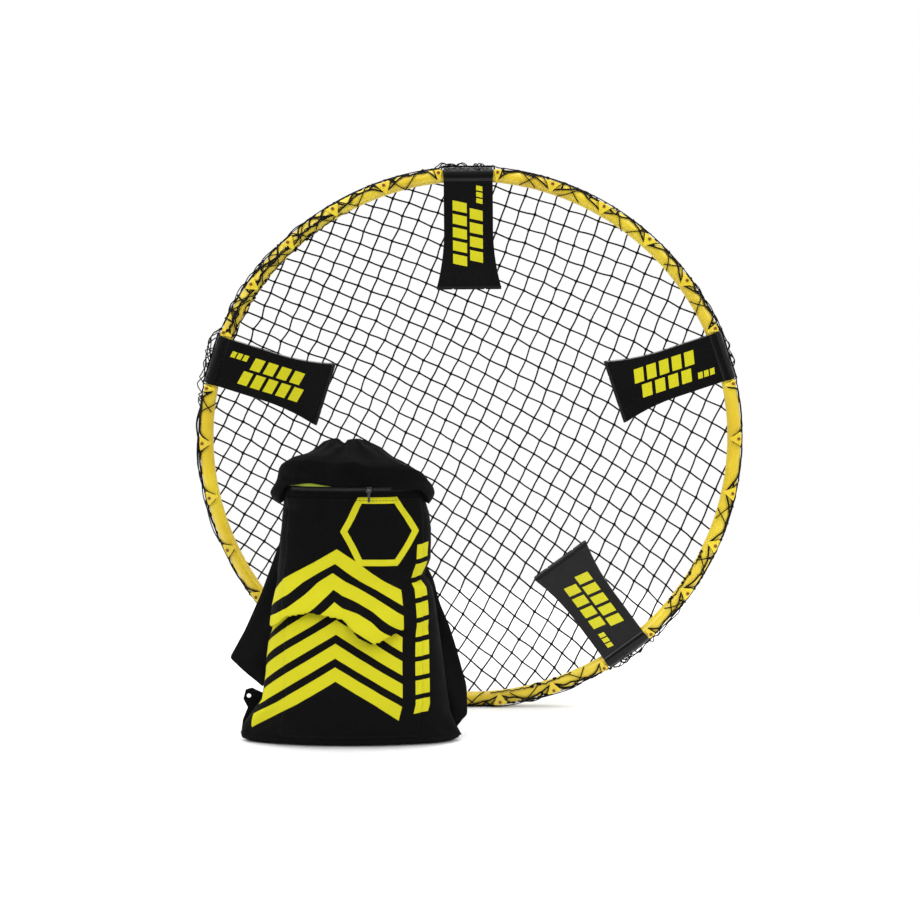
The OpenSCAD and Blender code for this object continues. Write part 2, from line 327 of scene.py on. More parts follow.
@dataclass(frozen=True)
class Rubber:
    """Matt rubber with a fine pebble.

    Attributes:
        name: The material's name.
        color: Its colour.
        dusty: The colour of the dust in its pores.
        pebble: Pebbles per metre.
    """

    name: str
    color: Color
    dusty: Color
    pebble: float = 900.0

    def build(self) -> bpy.types.Material:
        """Returns the material."""
        g = Shading(self.name)
        here = g.place()
        dust = g.span(g.noise(here, 60.0, 5.0, 0.65), 0.45, 0.75, 0.0, 0.6)
        cells = g.add("ShaderNodeTexVoronoi", {"Vector": here, "Scale": self.pebble}).outputs["Distance"]
        g.set(Base_Color=g.mix(dust, self.color, self.dusty), Normal=g.bump(cells, 0.00025, 0.6),
              Roughness=g.span(dust, 0.0, 0.6, 0.62, 0.8), Specular_IOR_Level=0.2)
        return g.material


@dataclass(frozen=True)
class TwistedCord:
    """Black cord laid up from strands, with a few pale fibres.

    Attributes:
        name: The material's name.
        color: Its colour.
        worn: The colour of rubbed fibres.
        lay: Strand ridges per metre.
    """

    name: str
    color: Color
    worn: Color
    lay: float = 700.0

    def build(self) -> bpy.types.Material:
        """Returns the material."""
        g = Shading(self.name)
        here = g.place()
        strands = g.add("ShaderNodeTexWave", {
            "Vector": here, "Scale": self.lay, "Distortion": 3.0, "Detail": 2.0},
            bands_direction="DIAGONAL").outputs["Fac"]
        fibres = g.noise(here, 2600.0, 4.0, 0.7)
        rubbed = g.span(g.noise(here, 35.0, 3.0), 0.5, 0.8, 0.0, 0.55)
        base = g.mix(g.math("MULTIPLY", rubbed, fibres), self.color, self.worn)
        height = g.math("ADD", strands, g.math("MULTIPLY", fibres, 0.4))
        g.set(Base_Color=base, Roughness=g.span(fibres, 0.3, 0.7, 0.62, 0.85),
              Normal=g.bump(height, 0.0003, 0.8), Sheen_Weight=0.03, Sheen_Roughness=0.5,
              Specular_IOR_Level=0.15)
        return g.material


@dataclass(frozen=True)
class WovenCloth:
    """Plain-weave polyester, read from the piece's own map in metres.

    Attributes:
        name: The material's name.
        color: The cloth's colour.
        faded: Its colour on rubbed folds.
        thread: Distance between threads.
        prints: Printed shapes, if any.
    """

    name: str
    color: Color
    faded: Color
    thread: float = 0.0009
    prints: tuple = ()

    def weave(self, g: Shading, u: object, v: object) -> bpy.types.NodeSocket:
        """Returns the weave's height from crossing threads."""
        turn = 2.0 * math.pi / self.thread
        warp = g.math("SINE", g.math("MULTIPLY", u, turn))
        weft = g.math("SINE", g.math("MULTIPLY", v, turn))
        return g.math("MULTIPLY", warp, weft)

    def build(self) -> bpy.types.Material:
        """Returns the material."""
        g = Shading(self.name)
        u, v = g.uv()
        here = g.place()
        height = self.weave(g, u, v)
        slub = g.noise(here, 320.0, 4.0, 0.65)
        rub = g.span(g.noise(here, 14.0, 4.0, 0.6), 0.5, 0.8, 0.0, 0.5)
        base = g.mix(rub, self.color, self.faded)
        normal = g.bump(height, 0.00022, 0.7, g.bump(slub, 0.0006, 0.35))
        rough = g.span(slub, 0.3, 0.7, 0.72, 0.88)
        if self.prints:
            ink = g.total([shape.mask(g, u, v) for shape in self.prints])
            cracks = g.span(g.noise(here, 700.0, 5.0, 0.75), 0.24, 0.34, 0.55, 1.0)
            cover = g.math("MULTIPLY", ink, cracks)
            base = g.mix(cover, base, LEMON)
            rough = g.math("SUBTRACT", rough, g.math("MULTIPLY", ink, 0.22))
        g.set(Base_Color=base, Roughness=rough, Normal=normal, Sheen_Weight=0.012,
              Sheen_Roughness=0.4, Specular_IOR_Level=0.06)
        return g.material


@dataclass(frozen=True)
class Chevrons:
    """Nested printed chevrons inside a slanted band.

    Attributes:
        left: Lowest U of the print.
        right: Highest U of the print.
        low: Lowest V of the print.
        high: Highest V of the print.
        peak: U of the chevrons' points.
        rise: How steeply their arms fall away.
        pitch: Distance from one chevron to the next.
        fill: Share of the pitch that is printed.
    """

    left: float
    right: float
    low: float
    high: float
    peak: float
    rise: float
    pitch: float
    fill: float

    def mask(self, graph: NodeGraph, u: object, v: object) -> bpy.types.NodeSocket:
        """Returns a mask that is 1 on the print."""
        away = graph.math("ABSOLUTE", graph.math("SUBTRACT", u, self.peak))
        level = graph.math("ADD", v, graph.math("MULTIPLY", away, self.rise))
        turns = graph.math("DIVIDE", level, self.pitch)
        band = graph.math("LESS_THAN", graph.math("FRACT", turns), self.fill)
        inside = graph.math("MULTIPLY", graph.math("GREATER_THAN", u, self.left),
                            graph.math("LESS_THAN", u, self.right))
        tall = graph.math("MULTIPLY", graph.math("GREATER_THAN", level, self.low),
                          graph.math("LESS_THAN", level, self.high))
        return graph.math("MULTIPLY", band, graph.math("MULTIPLY", inside, tall))


@dataclass(frozen=True)
class HexCell:
    """One printed six-sided outline.

    Attributes:
        u: U of its middle.
        v: V of its middle.
        radius: Distance from its middle to a side.
        line: Width of its outline.
    """

    u: float
    v: float
    radius: float
    line: float

    def mask(self, graph: NodeGraph, u: object, v: object) -> bpy.types.NodeSocket:
        """Returns a mask that is 1 on the outline."""
        across = graph.math("ABSOLUTE", graph.math("SUBTRACT", u, self.u))
        up = graph.math("ABSOLUTE", graph.math("SUBTRACT", v, self.v))
        slanted = graph.math("ADD", graph.math("MULTIPLY", across, math.cos(math.pi / 6)),
                             graph.math("MULTIPLY", up, math.sin(math.pi / 6)))
        reach = graph.math("MAXIMUM", slanted, up)
        return graph.math("MULTIPLY", graph.math("LESS_THAN", reach, self.radius),
                          graph.math("GREATER_THAN", reach, self.radius - self.line))


@dataclass(frozen=True)
class Metal:
    """Coated or bare metal with brushed streaks and rubbed spots.

    Attributes:
        name: The material's name.
        color: Its colour.
        rubbed: Its colour where it is rubbed.
        roughness: Its mean roughness.
        metallic: How metallic it is.
    """

    name: str
    color: Color
    rubbed: Color
    roughness: float
    metallic: float = 1.0

    def build(self) -> bpy.types.Material:
        """Returns the material."""
        g = Shading(self.name)
        here = g.place()
        streaks = g.noise(here, 1800.0, 2.0)
        worn = g.span(g.noise(here, 420.0, 4.0, 0.6), 0.5, 0.68, 0.0, 0.8)
        g.set(Base_Color=g.mix(worn, self.color, self.rubbed), Metallic=self.metallic,
              Roughness=g.span(streaks, 0.3, 0.7, self.roughness - 0.08, self.roughness + 0.12),
              Normal=g.bump(streaks, 0.00005, 0.4))
        return g.material


FINISHES = {
    "rim": MouldedPlastic("rim_yellow", (0.76, 0.59, 0.022, 1), (0.66, 0.46, 0.014, 1),
                          0.33, 0.00006, 2600.0, coat=0.2),
    "hook": MouldedPlastic("hook_yellow", (0.78, 0.61, 0.024, 1), (0.72, 0.53, 0.018, 1),
                           0.38, 0.00005, 2600.0, coat=0.15),
    "coupler": MouldedPlastic("journal_black", (0.02, 0.02, 0.02, 1), (0.03, 0.03, 0.03, 1),
                              0.45, 0.00005, 2400.0),
    "leg": MouldedPlastic("leg_black", (0.0030, 0.0030, 0.0031, 1), (0.0045, 0.0045, 0.0045, 1),
                          0.20, 0.000018, 1500.0, shine=0.20, rows=(
                              PrintRow(0.057, 0.0145, 0.0235, 0.0222, 5, 0.74, -0.22),
                              PrintRow(0.070, -0.0130, 0.0215, 0.0232, 4, 0.74, -0.22),
                              PrintRow(0.031, -0.0185, 0.0105, 0.0105, 3, 0.76, -0.22))),
    "pad": Rubber("pad_black", (0.004, 0.004, 0.004, 1), (0.014, 0.013, 0.012, 1)),
    "ball": Rubber("ball_yellow", (0.80, 0.70, 0.03, 1), (0.62, 0.52, 0.05, 1), 420.0),
    "cord": TwistedCord("net_black", (0.0035, 0.0032, 0.003, 1), (0.022, 0.019, 0.016, 1)),
    "screw": Metal("screw_bronze", (0.26, 0.11, 0.020, 1), (0.42, 0.20, 0.06, 1), 0.45, 0.5),
    "metal": Metal("zip_steel", (0.10, 0.10, 0.104, 1), (0.30, 0.30, 0.31, 1), 0.30),
    "nylon": MouldedPlastic("zip_nylon", (0.010, 0.010, 0.011, 1), (0.02, 0.02, 0.02, 1),
                            0.5, 0.00004, 3000.0),
    "cloth": WovenCloth("bag_black", (0.0026, 0.0026, 0.0028, 1), (0.0060, 0.0060, 0.0063, 1)),
    "printed": WovenCloth("pocket_black", (0.0026, 0.0026, 0.0028, 1), (0.0060, 0.0060, 0.0063, 1),
                          prints=(PrintRow(0.058, 0.1115, 0.024, 0.0308, 9, 0.74, 0.12, True),
                                  Chevrons(-0.165, 0.078, 0.105, 0.322, -0.028, 0.62, 0.0372, 0.62),
                                  HexCell(0.0395, 0.3485, 0.0545, 0.0100))),
    "lining": WovenCloth("lining_lime", (0.33, 0.42, 0.05, 1), (0.24, 0.32, 0.04, 1)),
    "webbing": WovenCloth("strap_black", (0.004, 0.004, 0.0042, 1), (0.008, 0.008, 0.0085, 1), 0.0016),
}


def dress(piece: bpy.types.Object, material: bpy.types.Material) -> None:
    """Makes a material the piece's only one."""
    piece.data.materials.clear()
    piece.data.materials.append(material)


# ---------------------------------------------------------------- mesh helpers


def new_piece(name: str, mesh: bpy.types.Mesh) -> bpy.types.Object:
    """Links a new object for a mesh.

    Args:
        name: The piece's name.
        mesh: Its mesh, in the row frame.

    Returns:
        The object.
    """
    mesh.name = name
    piece = bpy.data.objects.new(name, mesh)
    bpy.context.scene.collection.objects.link(piece)
    return piece


def smooth(mesh: bpy.types.Mesh) -> None:
    """Shades every face of a mesh smooth."""
    mesh.polygons.foreach_set("use_smooth", [True] * len(mesh.polygons))


def mesh_of(vertices: list, faces: list, name: str = "mesh") -> bpy.types.Mesh:
    """Returns a mesh of vertices and faces."""
    mesh = bpy.data.meshes.new(name)
    mesh.from_pydata([tuple(v) for v in vertices], [], faces)
    mesh.update()
    return mesh


def mesh_from(bm: bmesh.types.BMesh, name: str, soft: bool = True) -> bpy.types.Mesh:
    """Turns a bmesh into a mesh and frees it.

    Args:
        bm: The bmesh.
        name: The mesh's name.
        soft: Whether its faces are shaded smooth.

    Returns:
        The mesh, without materials.
    """
    mesh = bpy.data.meshes.new(name)
    bm.to_mesh(mesh)
    bm.free()
    mesh.materials.clear()
    if soft:
        smooth(mesh)
    return mesh


def merged(node: str) -> bmesh.types.BMesh:
    """Returns a CAD node's mesh as a bmesh with its doubled corners merged."""
    bm = bmesh.new()
    bm.from_mesh(frame["nodes"][node].data)
    bmesh.ops.remove_doubles(bm, verts=bm.verts, dist=2e-6)
    return bm


def lay_map(mesh: bpy.types.Mesh, flat: list) -> None:
    """Gives a mesh its own map, from the U and V of each vertex."""
    layer = mesh.uv_layers.new(name="map")
    for loop in mesh.loops:
        layer.data[loop.index].uv = flat[loop.vertex_index]


def sheet(name: str, points: list, flat: list, columns: int, wind: int = 1) -> bpy.types.Mesh:
    """Skins rows of points into an open sheet with its own map.

    Args:
        name: The mesh's name.
        points: The points, row by row.
        flat: U and V of each point.
        columns: Number of points in a row.
        wind: -1 where its faces look the other way.

    Returns:
        The mesh.
    """
    rows = len(points) // columns
    starts = [r * columns + c for r in range(rows - 1) for c in range(columns - 1)]
    faces = [(a, *(a + 1, a + columns + 1, a + columns)[::wind]) for a in starts]
    mesh = mesh_of(points, faces, name)
    lay_map(mesh, flat)
    smooth(mesh)
    return mesh


def bake(piece: bpy.types.Object) -> bpy.types.Object:
    """Applies every modifier of a piece by way of its evaluated mesh.

    Args:
        piece: The piece with its modifiers.

    Returns:
        The same piece, with a plain mesh and no modifiers.
    """
    bpy.context.view_layer.update()
    graph = bpy.context.evaluated_depsgraph_get()
    mesh = bpy.data.meshes.new_from_object(piece.evaluated_get(graph))
    piece.modifiers.clear()
    piece.data = mesh
    return piece


def thicken(piece: bpy.types.Object, thickness: float, offset: float = -1.0) -> None:
    """Gives a sheet its thickness.

    Args:
        piece: The sheet's piece.
        thickness: Its thickness.
        offset: -1 where the sheet is its outer face, and 0 where it is its middle.
    """
    solid = piece.modifiers.new("solid", "SOLIDIFY")
    solid.thickness, solid.offset = thickness, offset
    bake(piece)


def bevelled(piece: bpy.types.Object, width: float, segments: int, angle: float) -> None:
    """Adds a rounding to a piece's sharp edges.

    Args:
        piece: The piece.
        width: Width of the rounding.
        segments: Number of faces across it.
        angle: Edges sharper than this, in degrees, are rounded.
    """
    bevel = piece.modifiers.new("round", "BEVEL")
    bevel.limit_method, bevel.angle_limit = "ANGLE", math.radians(angle)
    bevel.width, bevel.segments = width, segments


class GeometryTree(NodeGraph):
    """A Geometry Nodes tree with named inputs."""

    def __init__(self, name: str, inputs: dict) -> None:
        """Starts a tree.

        Args:
            name: The tree's name.
            inputs: Input name to (socket type, default value or None).
        """
        super().__init__(bpy.data.node_groups.new(name, "GeometryNodeTree"))
        face = self.tree.interface
        face.new_socket("Geometry", in_out="INPUT", socket_type="NodeSocketGeometry")
        for label, (kind, value) in inputs.items():
            socket = face.new_socket(label, in_out="INPUT", socket_type=kind)
            if value is not None:
                socket.default_value = value
        face.new_socket("Geometry", in_out="OUTPUT", socket_type="NodeSocketGeometry")
        self.entry = self.tree.nodes.new("NodeGroupInput")
        self.exit = self.tree.nodes.new("NodeGroupOutput")

    def given(self, label: str) -> bpy.types.NodeSocket:
        """Returns the socket of a named input."""
        return self.entry.outputs[label]

    def finish(self, geometry: object, material: object) -> None:
        """Realizes the geometry, sets its material and ends the tree.

        Args:
            geometry: The socket of the built geometry.
            material: The socket of the material.
        """
        real = self.add("GeometryNodeRealizeInstances", {"Geometry": geometry})
        dressed = self.add("GeometryNodeSetMaterial", {"Geometry": real, "Material": material})
        self.feed(self.exit.inputs["Geometry"], dressed)

    def apply(self, piece: bpy.types.Object, values: dict) -> bpy.types.Object:
        """Runs the tree on a piece and keeps the result as a plain mesh.

        Args:
            piece: The piece that the tree works on.
            values: Input name to value.

        Returns:
            The same piece, with its new mesh.
        """
        modifier = piece.modifiers.new(self.tree.name, "NODES")
        modifier.node_group = self.tree
        sockets = {s.name: s.identifier for s in self.tree.interface.items_tree
                   if s.item_type == "SOCKET" and s.in_out == "INPUT"}
        for label, value in values.items():
            modifier[sockets[label]] = value
        return bake(piece)


# ------------------------------------------------------------------- the ring


@dataclass
class RingSpace:
    """Where the ring stands, and how points on it are found.

    Attributes:
        middle: The ring's centre, on the tubes' centre line.
        tube_r: Radius of the rim tube.
        ring_r: Radius of the tubes' centre line.
        hinge_r: Distance from the centre to a leg's hinge axis.
        legs: The legs' angles, in radians, leg 1 first.
        sleeve_half: Half of a sleeve's length.
        sleeve_r: Radius of a sleeve.
        hook_step: Angle from one hook to the next, in degrees.
        lowest: Least height of a cord's middle, so that it lies on the floor.
    """

    middle: Vector
    tube_r: float
    ring_r: float
    hinge_r: float
    legs: list
    sleeve_half: float = 0.041
    sleeve_r: float = 0.014
    hook_step: float = 11.9
    lowest: float = 0.0019

    @classmethod
    def from_frame(cls) -> "RingSpace":
        """Reads the ring's place from the CAD frame."""
        bed_low, bed_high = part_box("net_bed")
        edge_low, edge_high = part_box("net_edge")
        middle = Vector((0.0, (edge_low.y + edge_high.y) / 2, (bed_low.z + bed_high.z) / 2))
        tube_r = bed_high.y - middle.y
        hinges = [j for j in frame["joints"] if j["name"].endswith("_fold")]
        legs = [math.atan2(-j["axis"][0], j["axis"][2]) for j in hinges]
        arm = Vector(hinges[0]["pos_m"]) - middle
        ring_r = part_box("rim_tube_2")[1].x - tube_r
        return cls(middle, tube_r, ring_r, arm.length, legs)

    def at(self, radius: float, angle: float, depth: float) -> Vector:
        """Returns a point of the ring.

        Args:
            radius: Distance from the ring's centre.
            angle: Angle from +X, towards +Z.
            depth: Distance from the tubes' centre line to the side that the legs fold onto.

        Returns:
            The point in the row frame, never below the floor.
        """
        place = self.middle + Vector((radius * math.cos(angle), -depth, radius * math.sin(angle)))
        place.z = max(place.z, self.lowest)
        return place

    def leg_offset(self, angle: float) -> float:
        """Returns the signed arc length from an angle to the nearest leg's middle."""
        turns = [math.remainder(angle - leg, math.tau) for leg in self.legs]
        return min(turns, key=abs) * self.ring_r

    def hook_angles(self, number: int) -> list:
        """Returns the angles of the hooks on one rim tube.

        Args:
            number: The rim tube's number, from 1.

        Returns:
            Angles in radians.
        """
        middle = self.legs[number - 1] - math.pi / LEG_COUNT
        return [middle + math.radians(self.hook_step) * (k - 2.5) for k in range(6)]

    def leg_matrix(self, number: int) -> Matrix:
        """Returns a leg's own frame: X outward, Y across and Z out of its face.

        Args:
            number: The leg's number, from 1.

        Returns:
            The matrix from the leg's frame to the row frame.
        """
        a = self.legs[number - 1]
        out = Vector((math.cos(a), 0.0, math.sin(a)))
        across = Vector((-math.sin(a), 0.0, math.cos(a)))
        face = Vector((0.0, -1.0, 0.0))
        turn = Matrix((out, across, face)).transposed().to_4x4()
        return Matrix.Translation(self.middle + out * self.hinge_r) @ turn


def cord_tree() -> GeometryTree:
    """Returns the tree that sweeps a round cord along each line of a mesh."""
    tree = GeometryTree("cord_sweep", {
        "Radius": ("NodeSocketFloat", 0.001), "Sides": ("NodeSocketInt", 6),
        "Material": ("NodeSocketMaterial", None)})
    line = tree.add("GeometryNodeMeshToCurve", {"Mesh": tree.given("Geometry")})
    ring = tree.add("GeometryNodeCurvePrimitiveCircle", {
        "Resolution": tree.given("Sides"), "Radius": tree.given("Radius")})
    tube = tree.add("GeometryNodeCurveToMesh", {
        "Curve": line, "Profile Curve": ring.outputs["Curve"], "Fill Caps": True})
    soft = tree.add("GeometryNodeSetShadeSmooth", {"Geometry": tube, "Shade Smooth": True})
    tree.finish(soft, tree.given("Material"))
    return tree


def scatter_tree() -> GeometryTree:
    """Returns the tree that puts a copy of a piece on each point, turned as the point says."""
    tree = GeometryTree("scatter", {
        "Piece": ("NodeSocketObject", None), "Spread": ("NodeSocketFloat", 0.0),
        "Seed": ("NodeSocketInt", 0), "Material": ("NodeSocketMaterial", None)})
    points = tree.add("GeometryNodeMeshToPoints", {"Mesh": tree.given("Geometry"), "Radius": 0.001})
    turn = tree.add("GeometryNodeInputNamedAttribute", {"Name": "turn"}, data_type="FLOAT_VECTOR")
    euler = tree.add("FunctionNodeEulerToRotation", {0: turn.outputs["Attribute"]})
    high = tree.math("ADD", 1.0, tree.given("Spread"))
    low = tree.math("SUBTRACT", 1.0, tree.given("Spread"))
    size = tree.add("FunctionNodeRandomValue", {
        "Min": 1.0, "Max": 1.0, "Seed": tree.given("Seed")}, data_type="FLOAT")
    tree.feed(size.inputs[2], low)
    tree.feed(size.inputs[3], high)
    shape = tree.add("GeometryNodeObjectInfo", {"Object": tree.given("Piece")})
    copies = tree.add("GeometryNodeInstanceOnPoints", {
        "Points": points, "Instance": shape.outputs["Geometry"], "Rotation": euler,
        "Scale": size.outputs[1]})
    tree.finish(copies, tree.given("Material"))
    return tree


@dataclass
class Kit:
    """What the sub-assemblies share: finishes, trees and the ring's place."""

    space: RingSpace
    finishes: dict
    cord: GeometryTree
    scatter: GeometryTree

    def finish(self, piece: bpy.types.Object, body: str, slot: Slot, finish: str, *replaces: str) -> None:
        """Dresses a finished piece and joins it to the frame.

        Args:
            piece: The piece, at the origin, with its place in its mesh.
            body: The body that it rides on.
            slot: The record's slot of its finish; not used.
            finish: Key of its finish.
            replaces: The CAD nodes that it stands for.
        """
        dress(piece, self.finishes[finish])
        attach(piece, body)
        if replaces:
            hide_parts(*replaces)
        LOG.info("%s: %d faces on %s", piece.name, len(piece.data.polygons), body)

    def sweep(self, name: str, lines: list, radius: float, sides: int, finish: str,
              closed: bool = False) -> bpy.types.Object:
        """Sweeps a cord along each of several lines.

        Args:
            name: The piece's name.
            lines: Lists of points.
            radius: The cord's radius.
            sides: Number of sides of its section.
            finish: Key of its finish.
            closed: Whether each line is a closed loop.

        Returns:
            The piece, as a plain mesh.
        """
        points, edges = [], []
        for line in lines:
            first = len(points)
            points.extend(tuple(p) for p in line)
            edges.extend((first + k, first + k + 1) for k in range(len(line) - 1))
            if closed:
                edges.append((first + len(line) - 1, first))
        mesh = bpy.data.meshes.new(name)
        mesh.from_pydata(points, edges, [])
        piece = new_piece(name, mesh)
        return self.cord.apply(piece, {"Radius": radius, "Sides": sides, "Material": self.finishes[finish]})

    def copies(self, name: str, shape: bpy.types.Mesh, places: list, turns: list, finish: str,
               spread: float = 0.0, seed: int = 1) -> bpy.types.Object:
        """Puts a copy of a small mesh at each place.

        Args:
            name: The piece's name.
            shape: The mesh to copy.
            places: Points.
            turns: Euler angles, one set for each point.
            finish: Key of its finish.
            spread: How much the copies' sizes differ.
            seed: Seed of the sizes.

        Returns:
            The piece, as a plain mesh.
        """
        mesh = bpy.data.meshes.new(name)
        mesh.from_pydata([tuple(p) for p in places], [], [])
        attribute = mesh.attributes.new("turn", "FLOAT_VECTOR", "POINT")
        attribute.data.foreach_set("vector", [c for t in turns for c in t])
        piece = new_piece(name, mesh)
        model = new_piece(name + "_model", shape)
        self.scatter.apply(piece, {"Piece": model, "Spread": spread, "Seed": seed,
                                   "Material": self.finishes[finish]})
        bpy.data.objects.remove(model)
        return piece


@dataclass
class Net:
    """The knotted net, from its stretched bed to the edge cord round the hooks.

    Attributes:
        kit: What the sub-assemblies share.
        side: Length of a mesh side between knots.
        cord_r: Radius of the cord.
        loose_r: Radius of the loose cord on the rim.
        knot_r: Radius of a knot.
        reach: How many mesh sides the lattice goes out from its middle.
        slack: Angles between which the edge hangs slack, in degrees, and how slack it is.
        bare: Middles and halves of the spans where the edge stops short, in degrees.
        hanging: Middle, width, reach and number of the loops that hang out past the rim.
        gap: Air between a cord and the plastic under it.
        hooked: How far round the rim the edge reaches at a hook.
        free: How far it reaches between hooks.
        rng: The net's random numbers.
    """

    kit: Kit
    side: float = 0.0258
    cord_r: float = 0.00142
    loose_r: float = 0.00095
    knot_r: float = 0.0033
    reach: int = 24
    slack: tuple = ((112, 166, 1.0), (-46, -22, 0.45), (-92, -60, 0.45))
    bare: tuple = ((196, 18), (3, 10))
    hanging: tuple = ((163, 11, 0.011, 9), (170, 6, 0.006, 3), (150, 12, 0.005, 4), (134, 16, 0.003, 3),
                      (188, 20, 0.004, 7), (93, 6, 0.005, 6), (87, 4, 0.004, 4), (-53, 8, 0.006, 8),
                      (-45, 8, 0.005, 4), (-76, 20, 0.003, 5), (19, 7, 0.005, 5), (32, 12, 0.003, 3))
    gap: float = 0.0003
    hooked: float = 0.0462
    free: float = 0.0300
    rng: random.Random = field(default_factory=lambda: random.Random(11))

    def directions(self, p: np.ndarray) -> tuple:
        """Returns the two cord directions at points of the ring's plane.

        Args:
            p: Points as an array of X and Z from the ring's centre.

        Returns:
            Two arrays of unit vectors.
        """
        x, z = p[..., 0] / 0.4, p[..., 1] / 0.4
        first = np.radians(-30.0 + 12.0 * z - 2.0 * x)
        second = np.radians(64.0 + 6.0 * z + 2.0 * x)
        return (np.stack([np.cos(first), np.sin(first)], -1),
                np.stack([np.cos(second), np.sin(second)], -1))

    def lattice(self) -> np.ndarray:
        """Returns the knots' places in the ring's plane, relaxed to even mesh sides."""
        n = 2 * self.reach + 1
        p = np.zeros((n, n, 2))
        c = self.reach
        p[c, c] = (0.006, 0.004)
        for j in range(c, n - 1):
            p[c, j + 1] = p[c, j] + self.side * self.directions(p[c, j])[1]
        for j in range(c, 0, -1):
            p[c, j - 1] = p[c, j] - self.side * self.directions(p[c, j])[1]
        for i in range(c, n - 1):
            p[i + 1] = p[i] + self.side * self.directions(p[i])[0]
        for i in range(c, 0, -1):
            p[i - 1] = p[i] - self.side * self.directions(p[i])[0]
        for _ in range(60):
            for axis in (0, 1):
                gap = np.diff(p, axis=axis)
                length = np.linalg.norm(gap, axis=-1, keepdims=True)
                pull = 0.11 * gap * (1.0 - self.side / np.maximum(length, 1e-6))
                head = [slice(None)] * 3
                tail = [slice(None)] * 3
                head[axis], tail[axis] = slice(0, -1), slice(1, None)
                p[tuple(head)] += pull
                p[tuple(tail)] -= pull
        p -= p[c, c] - np.array((0.006, 0.004))
        for i in range(n):
            for j in range(n):
                x, z = p[i, j]
                wave = noise.noise_vector(Vector((x * 7.0, z * 7.0, 1.7)))
                p[i, j] += np.array((wave.x, wave.y)) * 0.0042
                p[i, j] += np.array([self.rng.uniform(-1, 1), self.rng.uniform(-1, 1)]) * 0.0009
                first, second = self.directions(p[i, j])
                p[i, j] += (first + second) * (0.00065 if (i + j) % 2 else -0.00065)
        return p

    def lift(self, angle: float) -> float:
        """Returns how far the cord's middle stands off the tubes' centre line at an angle."""
        space = self.kit.space
        bare = space.tube_r + self.cord_r + self.gap
        over_sleeve = space.sleeve_r + self.cord_r + self.gap
        past = (abs(space.leg_offset(angle)) - space.sleeve_half - 0.001) / 0.007
        t = min(max(past, 0.0), 1.0)
        return over_sleeve + (bare - over_sleeve) * t * t * (3 - 2 * t)

    def seat(self, angle: float) -> float:
        """Returns the radius at which the net starts to bend round the rim."""
        space = self.kit.space
        across = space.leg_offset(angle) / space.ring_r
        straight = space.hinge_r / math.cos(across)
        return min(straight, space.ring_r)

    @staticmethod
    def away(angle: float, degrees: float) -> float:
        """Returns how many degrees lie between an angle in radians and one in degrees."""
        return abs(math.remainder(math.degrees(angle) - degrees, 360.0))

    def slackness(self, angle: float) -> float:
        """Returns how slack the edge is at an angle, from 0 to 1."""
        most = 0.0
        for low, high, loose in self.slack:
            middle, half = (low + high) / 2, (high - low) / 2
            share = self.away(angle, middle) / half
            most = max(most, loose * min(max((1.0 - share) * 4.0, 0.0), 1.0))
        return most

    def pull_in(self, angle: float) -> float:
        """Returns how far the nearest hook pulls the edge in at an angle, from 0 to 1."""
        space = self.kit.space
        most = 0.0
        for number in range(1, LEG_COUNT + 1):
            for k, hook in enumerate(space.hook_angles(number)):
                away = math.remainder(angle - hook, math.tau) * space.ring_r
                if abs(away) < 0.05:
                    wide = 0.036 + 0.009 * noise.noise(Vector((hook * 9.0, math.copysign(5.0, away), 0.0)))
                    wide = 0.018 if k in (0, 5) else wide
                    most = max(most, min(1.0 - (abs(away) - 0.0045) / (wide - 0.0045), 1.0))
        return most

    def end_at(self, angle: float) -> float:
        """Returns how far round the rim the net reaches at an angle, as a length of cord."""
        space = self.kit.space
        offset = abs(space.leg_offset(angle))
        if offset < space.sleeve_half + 0.003:
            return 0.0205 + 0.0025 * noise.noise(Vector((angle * 40.0, 2.0, 0.0)))
        bare = max(math.exp(-(self.away(angle, middle) / half) ** 4) for middle, half in self.bare)
        base = self.free + 0.0070 * noise.noise(Vector((angle * 22.0, 0.0, 0.0))) - 0.0075 * bare
        ripple = 0.0110 + 0.0060 * noise.noise(Vector((angle * 46.0, 5.0, 0.0)))
        base += self.slackness(angle) * ripple
        pulled = self.pull_in(angle) ** (1.0 + 2.5 * bare)
        return base + (self.hooked - base) * pulled

    def wrap(self, x: float, z: float, extra: float = 0.0) -> Vector:
        """Lays a point of the flat net onto the ring.

        Args:
            x: X of the point in the flat net.
            z: Z of the point in the flat net.
            extra: Extra distance to stand off the rim.

        Returns:
            The point in the row frame.
        """
        space = self.kit.space
        radius, angle = math.hypot(x, z), math.atan2(z, x)
        lift, seat = self.lift(angle) + extra, self.seat(angle)
        along = radius - seat
        if along > 0.0:
            turn = along / lift
            return space.at(seat + lift * math.sin(turn), angle, -lift * math.cos(turn))
        flat = space.tube_r + self.cord_r + self.gap
        near = min(max(1.0 + along / 0.05, 0.0), 1.0)
        return space.at(radius, angle, -(flat + (lift - flat) * near * near))

    def wrap_at(self, radius: float, angle: float, extra: float) -> Vector:
        """Lays a point of the flat net, given by its radius and angle, onto the ring."""
        return self.wrap(radius * math.cos(angle), radius * math.sin(angle), extra)

    def inside(self, x: float, z: float) -> bool:
        """Returns whether a point of the flat net is inside its edge."""
        angle = math.atan2(z, x)
        return math.hypot(x, z) - self.seat(angle) <= self.end_at(angle)

